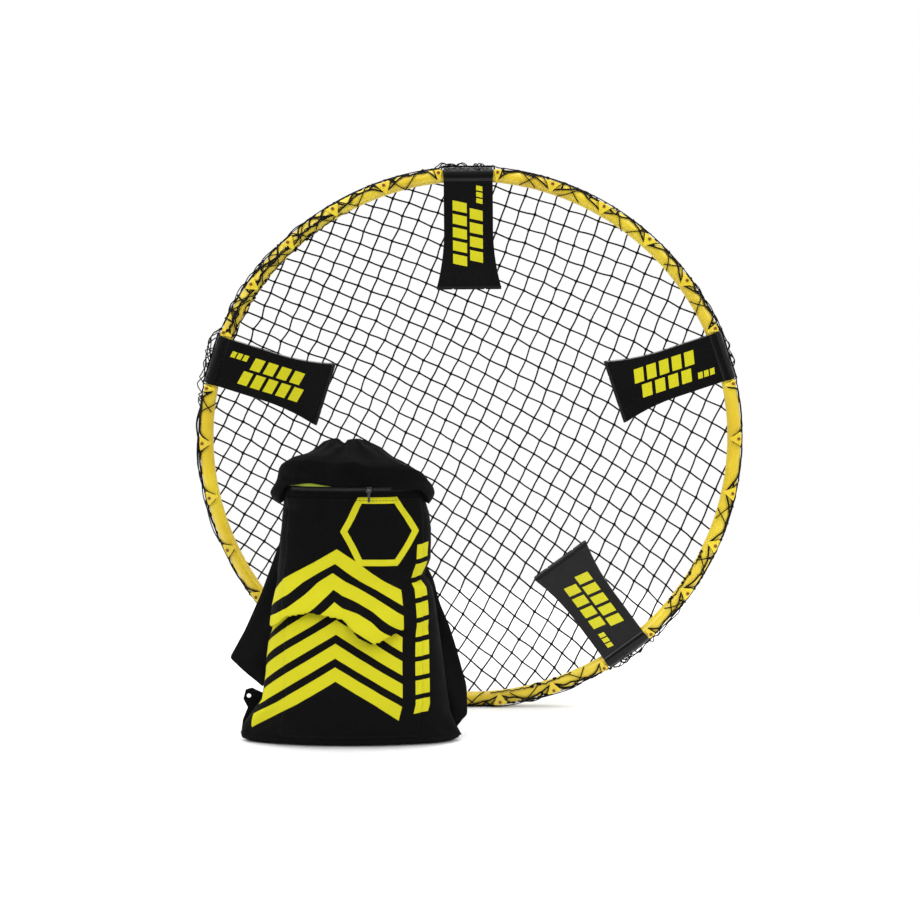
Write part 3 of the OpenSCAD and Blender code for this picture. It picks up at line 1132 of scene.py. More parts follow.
    def trace(self, knots: np.ndarray) -> list:
        """Turns one row of knots into lines that stop at the net's edge.

        Args:
            knots: The row's knots in the flat net.

        Returns:
            Lists of points in the row frame.
        """
        lines, line = [], []
        for (x0, z0), (x1, z1) in zip(knots[:-1], knots[1:]):
            outer = max(math.hypot(x0, z0), math.hypot(x1, z1)) > self.kit.space.ring_r - 0.02
            steps = 6 if outer else 2
            bow = self.rng.uniform(-0.0006, 0.0006)
            side = Vector((z0 - z1, x1 - x0)).normalized() * bow
            for k in range(steps):
                t = k / steps
                sway = math.sin(math.pi * t)
                x = x0 + (x1 - x0) * t + side.x * sway
                z = z0 + (z1 - z0) * t + side.y * sway
                if self.inside(x, z):
                    line.append(self.wrap(x, z))
                elif line:
                    lines.append(line)
                    line = []
        if line:
            lines.append(line)
        return [found for found in lines if len(found) > 1]

    def tangles(self) -> tuple:
        """Returns the bunched cords where the edge is slack, and the places of their knots."""
        lines, knots = [], []
        for strand, (depth, wave) in enumerate(((0.0545, 0.0055), (0.0470, 0.0080))):
            for low, high, _ in self.slack[:1] if strand else self.slack:
                a = math.radians(low + 3 + 4 * self.rng.random())
                stop = math.radians(high - 3 - 4 * self.rng.random())
                line = []
                while a < stop:
                    if abs(self.kit.space.leg_offset(a)) < self.kit.space.sleeve_half + 0.004:
                        lines.append(line)
                        line = []
                    else:
                        wide = noise.noise(Vector((a * 24.0, strand * 7.0, 3.0)))
                        fine = noise.noise(Vector((a * 75.0, strand * 3.0, 9.0)))
                        radius = self.seat(a) + depth + wave * wide + 0.0032 * fine
                        line.append(self.wrap_at(radius, a, 0.0004 + 0.0014 * strand))
                        if self.rng.random() < 0.10:
                            knots.append(line[-1])
                    a += 0.0045
                lines.append(line)
        return [line for line in lines if len(line) > 3], knots

    def is_bare(self, angle: float) -> bool:
        """Returns whether the edge stops short at an angle."""
        return any(self.away(angle, middle) < half for middle, half in self.bare)

    def across(self, start: float, end: float, low: float, high: float) -> list:
        """Returns a cord that runs over the rim's front.

        Args:
            start: Angle where it starts.
            end: Angle where it ends.
            low: How far round the rim it starts.
            high: How far round the rim it ends.

        Returns:
            Its points in the row frame.
        """
        line = []
        for step in range(13):
            t = step / 12
            a = start + (end - start) * t
            radius = self.seat(a) + low + (high - low) * t + 0.0014 * math.sin(5.0 * t + 9.0 * start)
            line.append(self.wrap_at(radius, a, 0.0010))
        return line

    def rim_cords(self) -> list:
        """Returns the cord along the rim's outer side and those that run over its front."""
        space = self.kit.space
        lines, line = [], []
        for k in range(1801):
            a = math.tau * k / 1800
            if abs(space.leg_offset(a)) < space.sleeve_half + 0.002:
                lines.append(line)
                line = []
                continue
            reach = 0.0212 + 0.0012 * noise.noise(Vector((a * 30.0, 7.0, 1.0)))
            radius = self.seat(a) + reach
            line.append(self.wrap_at(radius, a, 0.0003))
        lines.append(line)
        for number in range(1, LEG_COUNT + 1):
            hooks = space.hook_angles(number)
            for k, hook in enumerate(hooks):
                half = 0.010 if k in (0, 5) else 0.022 + 0.006 * self.rng.random()
                for side in () if self.is_bare(hook) or self.slackness(hook) > 0.6 else (-1, 1):
                    lines.append(self.across(hook + side * 0.0050 / space.ring_r,
                                             hook + side * half / space.ring_r, 0.0455, 0.0214))
            for first, second in zip(hooks[:-1], hooks[1:]):
                middle = (first + second) / 2
                if self.is_bare(middle):
                    continue
                for side in (-1, 1):
                    start = middle + self.rng.uniform(-0.020, 0.020) / space.ring_r
                    long = side * self.rng.uniform(0.018, 0.034) / space.ring_r
                    lines.append(self.across(start - long, start + long * 0.4, 0.0216,
                                             self.rng.uniform(0.052, 0.062)))
                if self.slackness(middle) > 0.5:
                    lines.append(self.across(first + 0.012 / space.ring_r, middle, 0.0560, 0.0230))
                    lines.append(self.across(second - 0.012 / space.ring_r, middle, 0.0560, 0.0230))
        return [found for found in lines if len(found) > 1]

    def loops(self) -> list:
        """Returns the small loose loops that stand out past the rim."""
        lines = []
        for middle, width, out, count in self.hanging:
            for _ in range(count):
                at = middle + self.rng.uniform(-0.5, 0.5) * width
                wide = width * self.rng.uniform(0.30, 0.60)
                far = out * self.rng.uniform(0.55, 1.0)
                start, lean = self.rng.uniform(1.1, 1.9), self.rng.uniform(-0.6, 0.6)
                line = []
                for k in range(25):
                    t = k / 24
                    a = math.radians(at + wide * (t - 0.5) + 0.35 * wide * lean * math.sin(math.pi * t) ** 2)
                    bulge = far * math.sin(math.pi * t) ** 0.8 * (1.0 - 0.18 * math.cos(4.0 * math.pi * t))
                    lift = self.lift(a) + 0.0012
                    turn = start + 0.35 * math.sin(2.0 * math.pi * t)
                    line.append(self.kit.space.at(self.seat(a) + (lift + bulge) * math.sin(turn), a,
                                                  -(lift + bulge) * math.cos(turn)))
                lines.append(line)
        return lines

    def knot_mesh(self) -> bpy.types.Mesh:
        """Returns one small knot: a lump with the grooves of its crossing cords."""
        bm = bmesh.new()
        bmesh.ops.create_icosphere(bm, subdivisions=1, radius=self.knot_r)
        for v in bm.verts:
            d = v.co.normalized()
            groove = 0.80 + 0.25 * abs(math.sin(3.1 * d.x + 2.3 * d.y)) + 0.10 * math.cos(5.0 * d.z)
            v.co = Vector((d.x * 1.15, d.y * 0.95, d.z * 0.72)) * self.knot_r * groove
        bmesh.ops.recalc_face_normals(bm, faces=bm.faces)
        return mesh_from(bm, "knot")

    def build(self) -> None:
        """Builds the net's strands, knots, edge cord and slack."""
        p = self.lattice()
        n = len(p)
        lines = []
        for k in range(n):
            lines += self.trace(p[:, k])
            lines += self.trace(p[k, :])
        strands = self.kit.sweep("net_strands", lines, self.cord_r, 6, "cord")
        self.kit.finish(strands, Body.RING.value, Slot.CORD, "cord", "net_bed")
        bunched, tied = self.tangles()
        places = tied + [self.wrap(*p[i, j]) for i in range(n) for j in range(n)
                         if self.inside(p[i, j, 0] * 1.004, p[i, j, 1] * 1.004)]
        for place in places:
            place.z = max(place.z, self.knot_r * 0.8)
        turns = [(self.rng.uniform(-0.5, 0.5) + math.pi / 2, self.rng.uniform(0, math.tau),
                  self.rng.uniform(-0.5, 0.5)) for _ in places]
        knots = self.kit.copies("net_knots", self.knot_mesh(), places, turns, "cord", 0.15, 5)
        self.kit.finish(knots, Body.RING.value, Slot.CORD, "cord")
        edge = []
        for k in range(1440):
            a = math.tau * k / 1440
            edge.append(self.wrap_at(self.seat(a) + self.end_at(a), a, 0.0004))
        border = self.kit.sweep("net_edge_cord", [edge], self.cord_r, 6, "cord", closed=True)
        self.kit.finish(border, Body.RING.value, Slot.CORD, "cord", "net_edge")
        loose = bunched + self.rim_cords() + self.loops()
        slack = self.kit.sweep("net_slack", loose, self.loose_r, 6, "cord")
        self.kit.finish(slack, Body.RING.value, Slot.CORD, "cord")


# ---------------------------------------------------- rim, hooks, legs and feet


def refine(node: str, name: str, width: float, segments: int = 2, angle: float = 35.0) -> bpy.types.Object:
    """Makes a merged copy of a CAD node with rounded edges and smooth shading.

    Args:
        node: The CAD node.
        name: The new piece's name.
        width: Width of the rounding.
        segments: Number of faces across the rounding.
        angle: Edges sharper than this, in degrees, are rounded.

    Returns:
        The new piece, as a plain mesh.
    """
    bm = merged(node)
    bmesh.ops.dissolve_limit(bm, angle_limit=math.radians(1.5), verts=bm.verts, edges=bm.edges)
    piece = new_piece(name, mesh_from(bm, name))
    bevelled(piece, width, segments, angle)
    weigh = piece.modifiers.new("even", "WEIGHTED_NORMAL")
    weigh.keep_sharp = True
    return bake(piece)


@dataclass
class Rim:
    """The five arcs of tube and the black journals between them.

    Attributes:
        kit: What the sub-assemblies share.
        sides: Number of sides of a tube's section.
        step: Angle between two sections along a tube, in degrees.
    """

    kit: Kit
    sides: int = 64
    step: float = 0.8

    def build(self) -> None:
        """Builds the tubes and dresses the journals."""
        space = self.kit.space
        cut = math.asin((space.sleeve_half + 0.0007) / space.ring_r)
        for number in range(1, LEG_COUNT + 1):
            high = space.legs[number - 1] - cut
            low = high - math.tau / LEG_COUNT + 2 * cut
            count = round(math.degrees(high - low) / self.step)
            arc = [space.at(space.ring_r, low + (high - low) * k / count, 0.0) for k in range(count + 1)]
            tube = self.kit.sweep(f"tube_{number}", [arc], space.tube_r, self.sides, "rim")
            self.kit.finish(tube, Body.RING.value, Slot.RIM, "rim", f"rim_tube_{number}")
            journal = refine(f"rim_coupler_{number}", f"journal_{number}", 0.0003, 1)
            self.kit.finish(journal, Body.RING.value, Slot.COUPLER, "coupler", f"rim_coupler_{number}")


@dataclass
class Hooks:
    """The pointed hooks on the rim and the screws that hold them.

    Attributes:
        kit: What the sub-assemblies share.
        stem: Half of the stem's width.
        base: Half of the tongue's width at its base.
        end_base: Half of that width on the hooks next to the sleeves.
        tip: Half of the tongue's width at its point.
        outer: Distance of the tongue's base outward from the tube's centre line.
        inner: Distance of its point inward from there.
        under: Height of the tongue's underside over the tube's centre.
        top: Height of its face.
        screw: Distance of the screw outward from the tube's centre line.
        head: Radius of the screw's head.
        head_height: Height of the screw's head.
        slot: Half of the width of the cross recess.
    """

    kit: Kit
    stem: float = 0.0040
    base: float = 0.0120
    end_base: float = 0.0065
    tip: float = 0.0013
    outer: float = 0.0105
    inner: float = 0.0080
    under: float = 0.0138
    top: float = 0.0162
    screw: float = 0.0065
    head: float = 0.0028
    head_height: float = 0.0015
    slot: float = 0.00035

    def hook_mesh(self, base: float) -> bpy.types.Mesh:
        """Returns one hook: a tapered stem under a tongue with a crowned face.

        Args:
            base: Half of the tongue's width at its base.

        Returns:
            The hook's mesh, with X outward and Z out of its face.
        """
        bm = bmesh.new()
        side = base * 0.50 + self.tip * 0.50 + 0.0004
        outline = [(self.outer - 0.0016, -base), (self.outer, -base * 0.88), (self.outer + 0.0005, 0.0),
                   (self.outer, base * 0.88), (self.outer - 0.0016, base), (0.0010, side),
                   (-self.inner, self.tip), (-self.inner - 0.0007, 0.0), (-self.inner, -self.tip),
                   (0.0010, -side)]
        low = [bm.verts.new((x, y, self.under)) for x, y in outline]
        high = [bm.verts.new((x * 0.985, y * 0.96, self.top)) for x, y in outline]
        bm.faces.new(high)
        bm.faces.new(low[::-1])
        for k, v in enumerate(low):
            n = (k + 1) % len(low)
            bm.faces.new((v, low[n], high[n], high[k]))
        tongue = list(bm.edges)
        bmesh.ops.bevel(bm, geom=tongue, offset=0.00055, segments=2, profile=0.6, affect="EDGES")
        stem = bmesh.ops.create_cube(bm, size=1.0)["verts"]
        for v in stem:
            wide = 1.0 if v.co.z > 0 else 1.15
            v.co = Vector((0.0058 + v.co.x * 0.0088, v.co.y * 2 * self.stem * wide, 0.0100 + v.co.z * 0.0090))
        edges = list({e for v in stem for e in v.link_edges})
        bmesh.ops.bevel(bm, geom=edges, offset=0.0005, segments=1, affect="EDGES")
        bmesh.ops.recalc_face_normals(bm, faces=bm.faces)
        return mesh_from(bm, "hook")

    def screw_mesh(self) -> bpy.types.Mesh:
        """Returns one screw head with its cross recess and the start of its shank."""
        profile = [(0.0, -0.0030), (0.0015, -0.0030), (0.0015, 0.0), (self.head, 0.0),
                   (self.head, self.head_height * 0.45), (self.head * 0.86, self.head_height * 0.85),
                   (self.head * 0.5, self.head_height), (0.0, self.head_height)]
        bm = bmesh.new()
        points = [bm.verts.new((r, 0.0, z + self.top)) for r, z in profile]
        line = [bm.edges.new(pair) for pair in zip(points[:-1], points[1:])]
        bmesh.ops.spin(bm, geom=points + line, cent=(0, 0, 0), axis=(0, 0, 1), angle=math.tau, steps=20)
        bmesh.ops.remove_doubles(bm, verts=bm.verts, dist=1e-6)
        bmesh.ops.recalc_face_normals(bm, faces=bm.faces)
        head = new_piece("screw_model", mesh_from(bm, "screw", soft=False))
        cross = bmesh.new()
        for turn in (0.0, math.pi / 2):
            bar = bmesh.ops.create_cube(cross, size=1.0)["verts"]
            for v in bar:
                v.co = Vector((v.co.x * 0.0034, v.co.y * 2 * self.slot,
                               self.top + self.head_height + v.co.z * 0.0014))
            bmesh.ops.rotate(cross, verts=bar, cent=(0, 0, 0), matrix=Matrix.Rotation(turn, 3, "Z"))
        cutter = new_piece("recess", mesh_from(cross, "recess", soft=False))
        cut = head.modifiers.new("recess", "BOOLEAN")
        cut.object, cut.operation, cut.solver, cut.use_self = cutter, "DIFFERENCE", "EXACT", True
        bake(head)
        result = head.data.copy()
        for piece in (head, cutter):
            bpy.data.objects.remove(piece)
        return result

    def build(self) -> None:
        """Builds every tube's hooks and all the screws."""
        space = self.kit.space
        hook, end_hook, screw = self.hook_mesh(self.base), self.hook_mesh(self.end_base), self.screw_mesh()
        heads, twists = [], []
        for number in range(1, LEG_COUNT + 1):
            places, turns = [], []
            for k, a in enumerate(space.hook_angles(number)):
                out = Vector((math.cos(a), 0.0, math.sin(a)))
                axes = Matrix((out, (-math.sin(a), 0.0, math.cos(a)), (0.0, -1.0, 0.0))).transposed()
                places.append(space.at(space.ring_r, a, 0.0))
                turns.append(axes.to_euler())
                heads.append(space.at(space.ring_r + self.screw, a, 0.0))
                twist = Matrix.Rotation(0.7 * (k + 1) * number, 3, "Z")
                twists.append((axes @ twist).to_euler())
            row = self.kit.copies(f"hooks_{number}", hook.copy(), places[1:-1], turns[1:-1], "hook")
            self.kit.finish(row, Body.RING.value, Slot.HOOK, "hook", f"rim_hooks_{number}")
            pair = self.kit.copies(f"end_hooks_{number}", end_hook.copy(), places[::5], turns[::5], "hook")
            self.kit.finish(pair, Body.RING.value, Slot.HOOK, "hook")
        screws = self.kit.copies("screws", screw, heads, twists, "screw")
        self.kit.finish(screws, Body.RING.value, Slot.SCREW, "screw", "hook_screws")


@dataclass
class Legs:
    """The moulded legs with their rubber feet.

    Attributes:
        kit: What the sub-assemblies share.
        rounding: Width of the rounding along a leg's edges.
        pad_rounding: Width of the rounding along a foot's edges.
    """

    kit: Kit
    rounding: float = 0.0009
    pad_rounding: float = 0.0016

    def map_face(self, piece: bpy.types.Object, number: int) -> None:
        """Gives a leg its own map: U from the sleeve to the foot, V across.

        Args:
            piece: The leg's piece.
            number: The leg's number, from 1.
        """
        place = self.kit.space.leg_matrix(number)
        back, front = place.inverted(), place.to_3x3() @ Vector((0.0, 0.0, 1.0))
        layer = piece.data.uv_layers.new(name="map")
        for face in piece.data.polygons:
            printed = face.normal.dot(front) > 0.5
            for index in face.loop_indices:
                p = back @ piece.data.vertices[piece.data.loops[index].vertex_index].co
                layer.data[index].uv = (self.kit.space.sleeve_r - p.x, p.y) if printed else (-1.0, 0.0)

    def build(self) -> None:
        """Builds each leg and its foot."""
        for number in range(1, LEG_COUNT + 1):
            body = f"leg_{number}_body"
            leg = refine(f"leg_{number}", f"leg_shell_{number}", self.rounding)
            self.map_face(leg, number)
            self.kit.finish(leg, body, Slot.LEG, "leg", f"leg_{number}")
            foot = refine(f"foot_pad_{number}", f"foot_{number}", self.pad_rounding, 3)
            self.kit.finish(foot, body, Slot.PAD, "pad", f"foot_pad_{number}")


# --------------------------------------------------------------------- the bag


@dataclass
class Outline:
    """How wide and deep a sewn shell is at each height, in millimetres of the bag's frame.

    Attributes:
        rows: Tuples of height, left, right, front, back and bluntness of the rounded section.
    """

    rows: tuple

    def at(self, height: float) -> tuple:
        """Returns left, right, front and back in metres, and the bluntness, at a height in metres."""
        table = np.array(self.rows)
        found = [float(np.interp(height * 1000, table[:, 0], table[:, k])) for k in range(1, 6)]
        return (*(length / 1000 for length in found[:4]), found[4])

    def ring(self, height: float, count: int) -> tuple:
        """Returns one section, evenly spaced from the middle of the front.

        Args:
            height: Height of the section.
            count: Number of points.

        Returns:
            Points, outward normals and signed distances from the front's middle.
        """
        left, right, front, back, bluntness = self.at(height)
        turn = np.linspace(-math.pi / 2, 1.5 * math.pi, 721)
        power = 2.0 / bluntness
        cos, sin = np.cos(turn), np.sin(turn)
        across = np.sign(cos) * np.abs(cos) ** power
        deep = np.sign(sin) * np.abs(sin) ** power
        x = (left + right) / 2 + (right - left) / 2 * across
        y = -(front + back) / 2 + (front - back) / 2 * deep
        length = np.concatenate([[0.0], np.cumsum(np.hypot(np.diff(x), np.diff(y)))])
        want = length[-1] * np.arange(count) / count
        px, py = np.interp(want, length, x), np.interp(want, length, y)
        dx, dy = np.roll(px, -1) - np.roll(px, 1), np.roll(py, -1) - np.roll(py, 1)
        size = np.maximum(np.hypot(dx, dy), 1e-9)
        along = np.where(want > length[-1] / 2, want - length[-1], want)
        return np.stack([px, py], -1), np.stack([dy / size, -dx / size], -1), along


def lofted(name: str, rings: list, alongs: list, heights: list, closed_top: bool = True) -> bpy.types.Mesh:
    """Skins rings of points and gives the shell its own map in metres.

    Args:
        name: The mesh's name.
        rings: Lists of points with the same count, lowest first.
        alongs: U of each ring's points.
        heights: V of each ring.
        closed_top: Whether the last ring is closed as well as the first.

    Returns:
        The mesh.
    """
    count, last = len(rings[0]), len(rings) - 1
    vertices = [tuple(p) for ring in rings for p in ring]
    faces = []
    for r in range(last):
        for k in range(count):
            a, b = r * count + k, r * count + (k + 1) % count
            faces.append((a, b, b + count, a + count))
    for ring, row, wind in ((rings[0], 0, -1), (rings[last], last, 1))[:1 + closed_top]:
        vertices.append(tuple(sum((Vector(p) for p in ring), Vector()) / count))
        middle = len(vertices) - 1
        for k in range(count):
            pair = (row * count + k, row * count + (k + 1) % count)
            faces.append((*pair[::wind], middle))
    mesh = mesh_of(vertices, faces, name)
    layer = mesh.uv_layers.new(name="map")
    for polygon in mesh.polygons:
        corners = list(polygon.loop_indices)
        spots = [mesh.loops[k].vertex_index for k in corners]
        flat = [(alongs[s // count][s % count], heights[s // count]) if s < count * (last + 1)
                else (0.5, heights[0]) for s in spots]
        wide = max(u for u, _ in flat) - min(u for u, _ in flat)
        for k, (u, v) in zip(corners, flat):
            layer.data[k].uv = (u - 1.0 if wide > 0.3 and u > 0 else u, v)
    smooth(mesh)
    return mesh


@dataclass
class Bag:
    """The drawstring bag: body, gathered collar, printed pocket, zip, straps and tabs.

    Attributes:
        kit: What the sub-assemblies share.
        body: The body's outline.
        collar: The gathered top's outline.
        around: Number of points round a section.
        seam_back: How far the side seams lie in front of the bag's back.
        creases: Folds as (x, z, x, z, height, width), in millimetres.
        overhang: The line of the big fold over the front, as (x, z) in millimetres.
        pocket: Half width, low and high of the pocket panel, in metres.
        zip_z: Height of the zip.
        collar_low: Height of the collar's foot.
        collar_tall: Height of the collar over its foot.
        collar_high: Height of the collar's gathered top.
        sections: The body's sections that have been worked out, by height.
    """

    kit: Kit
    body: Outline = field(default_factory=lambda: Outline((
        (0, -168, 160, 88, 22, 1.75), (5, -179, 170, 106, 10, 1.75), (12, -182, 175, 114, 4, 1.8),
        (31, -174, 165, 121, 0, 1.95), (52, -158, 157, 125, 0, 2.15), (72, -145, 154, 127, 0, 2.3),
        (104, -141, 150, 127, 0, 2.5), (135, -138, 146, 126, 0, 2.7), (167, -134, 142, 124, 0, 2.8),
        (198, -126, 138, 121, 0, 2.8), (230, -124, 133, 118, 0, 2.8), (256, -121, 127, 115, 0, 2.8),
        (270, -119, 117, 112, 0, 2.8), (283, -118, 119, 111, 0, 2.8), (299, -116, 125, 109, 0, 2.8),
        (324, -113, 127, 108, 0, 2.8), (345, -112, 127, 107, 0, 2.8), (370, -110, 124, 106, 0, 2.8),
        (386, -109, 119, 106, 0, 2.8), (400, -107, 116, 107, 0, 2.9), (424, -103, 111, 107, 2, 3.0))))
    collar: Outline = field(default_factory=lambda: Outline((
        (386, -112, 121, 106, 0, 2.8), (395, -121, 126, 108, 0, 2.6), (403, -126, 129, 109.5, 0, 2.4),
        (416, -124, 130, 112, 0, 2.3), (430, -120, 121, 115, 1, 2.3), (439, -117, 104, 115, 4, 2.3),
        (447, -112, 86, 113, 9, 2.3), (458, -97, 70, 105, 15, 2.3), (466, -72, 60, 97, 21, 2.2),
        (474, -58, 50, 89, 27, 2.2), (480, -50, 36, 82, 32, 2.2), (484, -44, 24, 76, 38, 2.2))))
    around: int = 260
    seam_back: float = 0.046
    creases: tuple = (
        (118, 271, 52, 248, -5.5, 9), (124, 292, 78, 300, 3.0, 13), (-110, 386, -52, 352, -3.5, 10),
        (-114, 330, -58, 348, 3.0, 12), (-40, 400, -56, 330, -2.5, 9), (20, 402, 8, 352, -2.0, 9),
        (78, 400, 92, 338, -3.0, 10), (104, 398, 112, 350, 2.5, 9), (98, 160, 121, 18, -3.0, 12),
        (-176, 14, -104, 66, -5.0, 10), (-178, 22, -116, 88, 4.0, 10), (-172, 8, -80, 22, -3.0, 9),
        (172, 10, 118, 58, -5.0, 10), (170, 16, 96, 26, 3.0, 9), (-20, 6, 34, 34, -2.2, 12),
        (-132, 120, -96, 150, -2.5, 9), (30, 200, 104, 232, 2.5, 13), (-8, 175, 60, 150, -2.5, 14),
        (-118, 262, -70, 286, -2.5, 11), (132, 200, 92, 176, -3.0, 10), (60, 8, 96, 40, 2.0, 12))
    overhang: tuple = ((-150, 186), (-122, 200), (-96, 226), (-62, 234),
                       (-12, 224), (12, 196), (34, 184), (78, 196))
    pocket: tuple = (0.112, 0.016, 0.402)
    zip_z: float = 0.416
    collar_low: float = 0.386
    collar_tall: float = 0.098
    collar_high: float = 0.484
    sections: dict = field(default_factory=dict)

    @cached_property
    def origin(self) -> Vector:
        """The middle of the bag's back, on the floor."""
        low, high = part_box("ball_2")
        return Vector(((low.x + high.x) / 2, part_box("bag_body")[1].y, 0.0))

    def fold(self, x: float, z: float) -> tuple:
        """Returns how far the front cloth stands out and drops at a point.

        Args:
            x: Distance across the front.
            z: Height.

        Returns:
            Outward and downward moves.
        """
        mx, mz = x * 1000, z * 1000
        out = 0.0
        for x0, z0, x1, z1, height, width in self.creases:
            dx, dz = x1 - x0, z1 - z0
            length = math.hypot(dx, dz)
            t = ((mx - x0) * dx + (mz - z0) * dz) / (length * length)
            off = ((mx - x0) * dz - (mz - z0) * dx) / length
            bend = 5.0 * noise.noise(Vector((t * 2.0, height, width)))
            fade = max(0.0, 1.0 - max(-t * 3.0, (t - 0.35) / 0.65, 0.0) ** 2)
            out += height * fade * math.exp(-((off + bend) / width) ** 2)
        swirl = noise.noise_vector(Vector((mx / 80.0, mz / 80.0, 2.0)))
        warp = Vector((mx / 62.0, mz / 95.0, 0.4)) + 0.6 * swirl
        out += 2.4 * noise.noise(warp) + 1.3 * noise.noise(Vector((mx / 21.0, mz / 38.0, 5.0)))
        line = np.array(self.overhang)
        level = float(np.interp(mx, line[:, 0], line[:, 1]))
        power = min(1.0, max(0.0, (96.0 - mx) / 50.0)) * min(1.0, max(0.0, (mx + 175.0) / 40.0))
        above = mz - level
        drop = 0.0
        if above >= 0.0:
            out += power * 12.0 * math.exp(-(above / 42.0) ** 2)
            drop = power * 13.0 * math.exp(-(above / 26.0) ** 2)
        else:
            out -= power * 7.0 * math.exp(-(above / 20.0) ** 2)
        return out / 1000, drop / 1000

    def body_rings(self) -> tuple:
        """Returns the body's rings with their folds, U of their points and V of each ring."""
        heights = [0.0005, 0.002, 0.005, 0.009] + [0.013 + 0.0019 * k for k in range(216)]
        rings, alongs = [], []
        for z in heights:
            points, normals, along = self.body.ring(z, self.around)
            ring = []
            for (x, y), (nx, ny) in zip(points, normals):
                front = min(max(-ny * 1.4, 0.0), 1.0)
                out, drop = self.fold(x, z)
                behind = 0.003 * noise.noise(Vector((x * 14.0, z * 11.0, 8.0)))
                foot = min(z / 0.02, 1.0)
                side = 0.35 * out + 0.0016 * noise.noise(Vector((y * 30.0, z * 24.0, 3.0)))
                edge = 1.0 - front if ny < 0 else 0.0
                rear = behind if ny >= 0 and abs(nx) < 0.8 else 0.0
                move = (out * front + side * edge + rear) * foot
                ring.append(self.origin + Vector((x + nx * move, y + ny * move, z - drop * front * foot)))
            rings.append(ring)
            alongs.append(list(along))
        return rings, alongs, heights

    def build_body(self) -> None:
        """Builds the sewn body."""
        rings, alongs, heights = self.body_rings()
        for ring in rings[:4]:
            for p in ring:
                p.z = max(p.z, 0.0004)
        piece = new_piece("bag_shell", lofted("bag_shell", rings, alongs, heights))
        self.kit.finish(piece, Body.BAG.value, Slot.CLOTH, "printed", "bag_body")

    def panel(self, name: str, wide: float, low: float, high: float, step: float,
              lift: float) -> bpy.types.Mesh:
        """Lays a patch of cloth over the body's front.

        Args:
            name: The mesh's name.
            wide: Half of its width.
            low: Its lowest height.
            high: Its highest height.
            step: Distance between its rows.
            lift: How far it stands off the body.

        Returns:
            The mesh, open at its edges, with its own map.
        """
        columns, rows = round(2 * wide / step) + 1, round((high - low) / step) + 1
        vertices, flat = [], []
        for r in range(rows):
            z = low + (high - low) * r / (rows - 1)
            for c in range(columns):
                u = -wide + 2 * wide * c / (columns - 1)
                edge = min(1.0, min(wide - abs(u), z - low, high - z) / 0.003)
                vertices.append(self.front_point(u, z, lift * (0.35 + 0.65 * edge)))
                flat.append((u, z))
        return sheet(name, vertices, flat, columns)

    def front_point(self, u: float, z: float, lift: float) -> Vector:
        """Returns a point off the body's front.

        Args:
            u: Distance round the body from the front's middle.
            z: Height of the section it lies on.
            lift: Distance off the cloth.

        Returns:
            The point in the row frame.
        """
        points, normals, along = self.section(round(z, 5))
        order = np.argsort(along)
        x, y = (float(np.interp(u, along[order], points[order, k])) for k in (0, 1))
        nx, ny = (float(np.interp(u, along[order], normals[order, k])) for k in (0, 1))
        front = min(max(-ny * 1.4, 0.0), 1.0)
        out, drop = self.fold(x, z)
        side = 0.35 * out + 0.0016 * noise.noise(Vector((y * 30.0, z * 24.0, 3.0)))
        move = (out * front + side * (1.0 - front)) * min(z / 0.02, 1.0) + lift
        return self.origin + Vector((x + nx * move, y + ny * move, z - drop * front * min(z / 0.02, 1.0)))

    def section(self, z: float) -> tuple:
        """Returns the body's section at a height, kept for the next point on it."""
        if z not in self.sections:
            self.sections[z] = self.body.ring(z, self.around)
        return self.sections[z]

    def build_pocket(self) -> None:
        """Builds the printed pocket panel and the stitches round it."""
        wide, low, high = self.pocket
        piece = new_piece("pocket_panel", self.panel("pocket_panel", wide, low, high, 0.0022, 0.0021))
        thicken(piece, 0.0009)
        self.kit.finish(piece, Body.BAG.value, Slot.POCKET, "printed", "bag_pocket")
        for label, z in (("hem", low + 0.004), ("zip", high - 0.004)):
            path = [(wide * (k / 65.0 - 1.0), z) for k in range(131)]
            self.stitch(f"stitches_{label}", [self.front_point(u, z, 0.0024) for u, z in path], 0.0046)
        for label, sign in (("left", -1), ("right", 1)):
            heights = [0.034 + 0.0018 * k for k in range(196)]
            seam = [self.front_point(sign * self.side_at(z), z, 0.0006) for z in heights]
            self.stitch(f"stitches_{label}", seam, 0.0046)

    def side_at(self, z: float) -> float:
        """Returns the distance round the body from the front's middle to a side seam."""
        points = self.section(round(z, 5))[0]
        around = np.linalg.norm(points - np.roll(points, 1, axis=0), axis=1).sum()
        return float(around) * 0.282

    def stitch(self, name: str, line: list, pitch: float) -> None:
        """Sews a row of stitches along a line.

        Args:
            name: The piece's name.
            line: Points along the seam.
            pitch: Distance from one stitch to the next.
        """
        bm = bmesh.new()
        bmesh.ops.create_uvsphere(bm, u_segments=6, v_segments=4, radius=0.00045)
        for v in bm.verts:
            v.co.x *= 4.2
        bmesh.ops.recalc_face_normals(bm, faces=bm.faces)
        shape = mesh_from(bm, "stitch")
        places, turns, since = [], [], 0.0
        for a, b in zip(line[:-1], line[1:]):
            since += (b - a).length
            if since >= pitch:
                since = 0.0
                places.append((a + b) / 2)
                turns.append((b - a).to_track_quat("X", "Z").to_euler())
        piece = self.kit.copies(name, shape, places, turns, "cord", 0.08, 3)
        self.kit.finish(piece, Body.BAG.value, Slot.CLOTH, "cord")

    def collar_edge(self, x: float, front: float) -> float:
        """Returns the height of the collar's drooping lower edge.

        Args:
            x: Distance across the bag.
            front: How far the edge faces the front, from 0 to 1.

        Returns:
            The height.
        """
        slit = math.exp(-((x + 0.063) / 0.025) ** 2) * 0.0058
        wave = 0.0035 * noise.noise(Vector((x * 28.0, 1.0, 4.0)))
        lean = -0.06 * max(x, 0.0)
        on_front = 0.4195 + slit + wave + lean
        return self.collar_low + (on_front - self.collar_low) * min(1.0, front * 1.25) ** 1.4

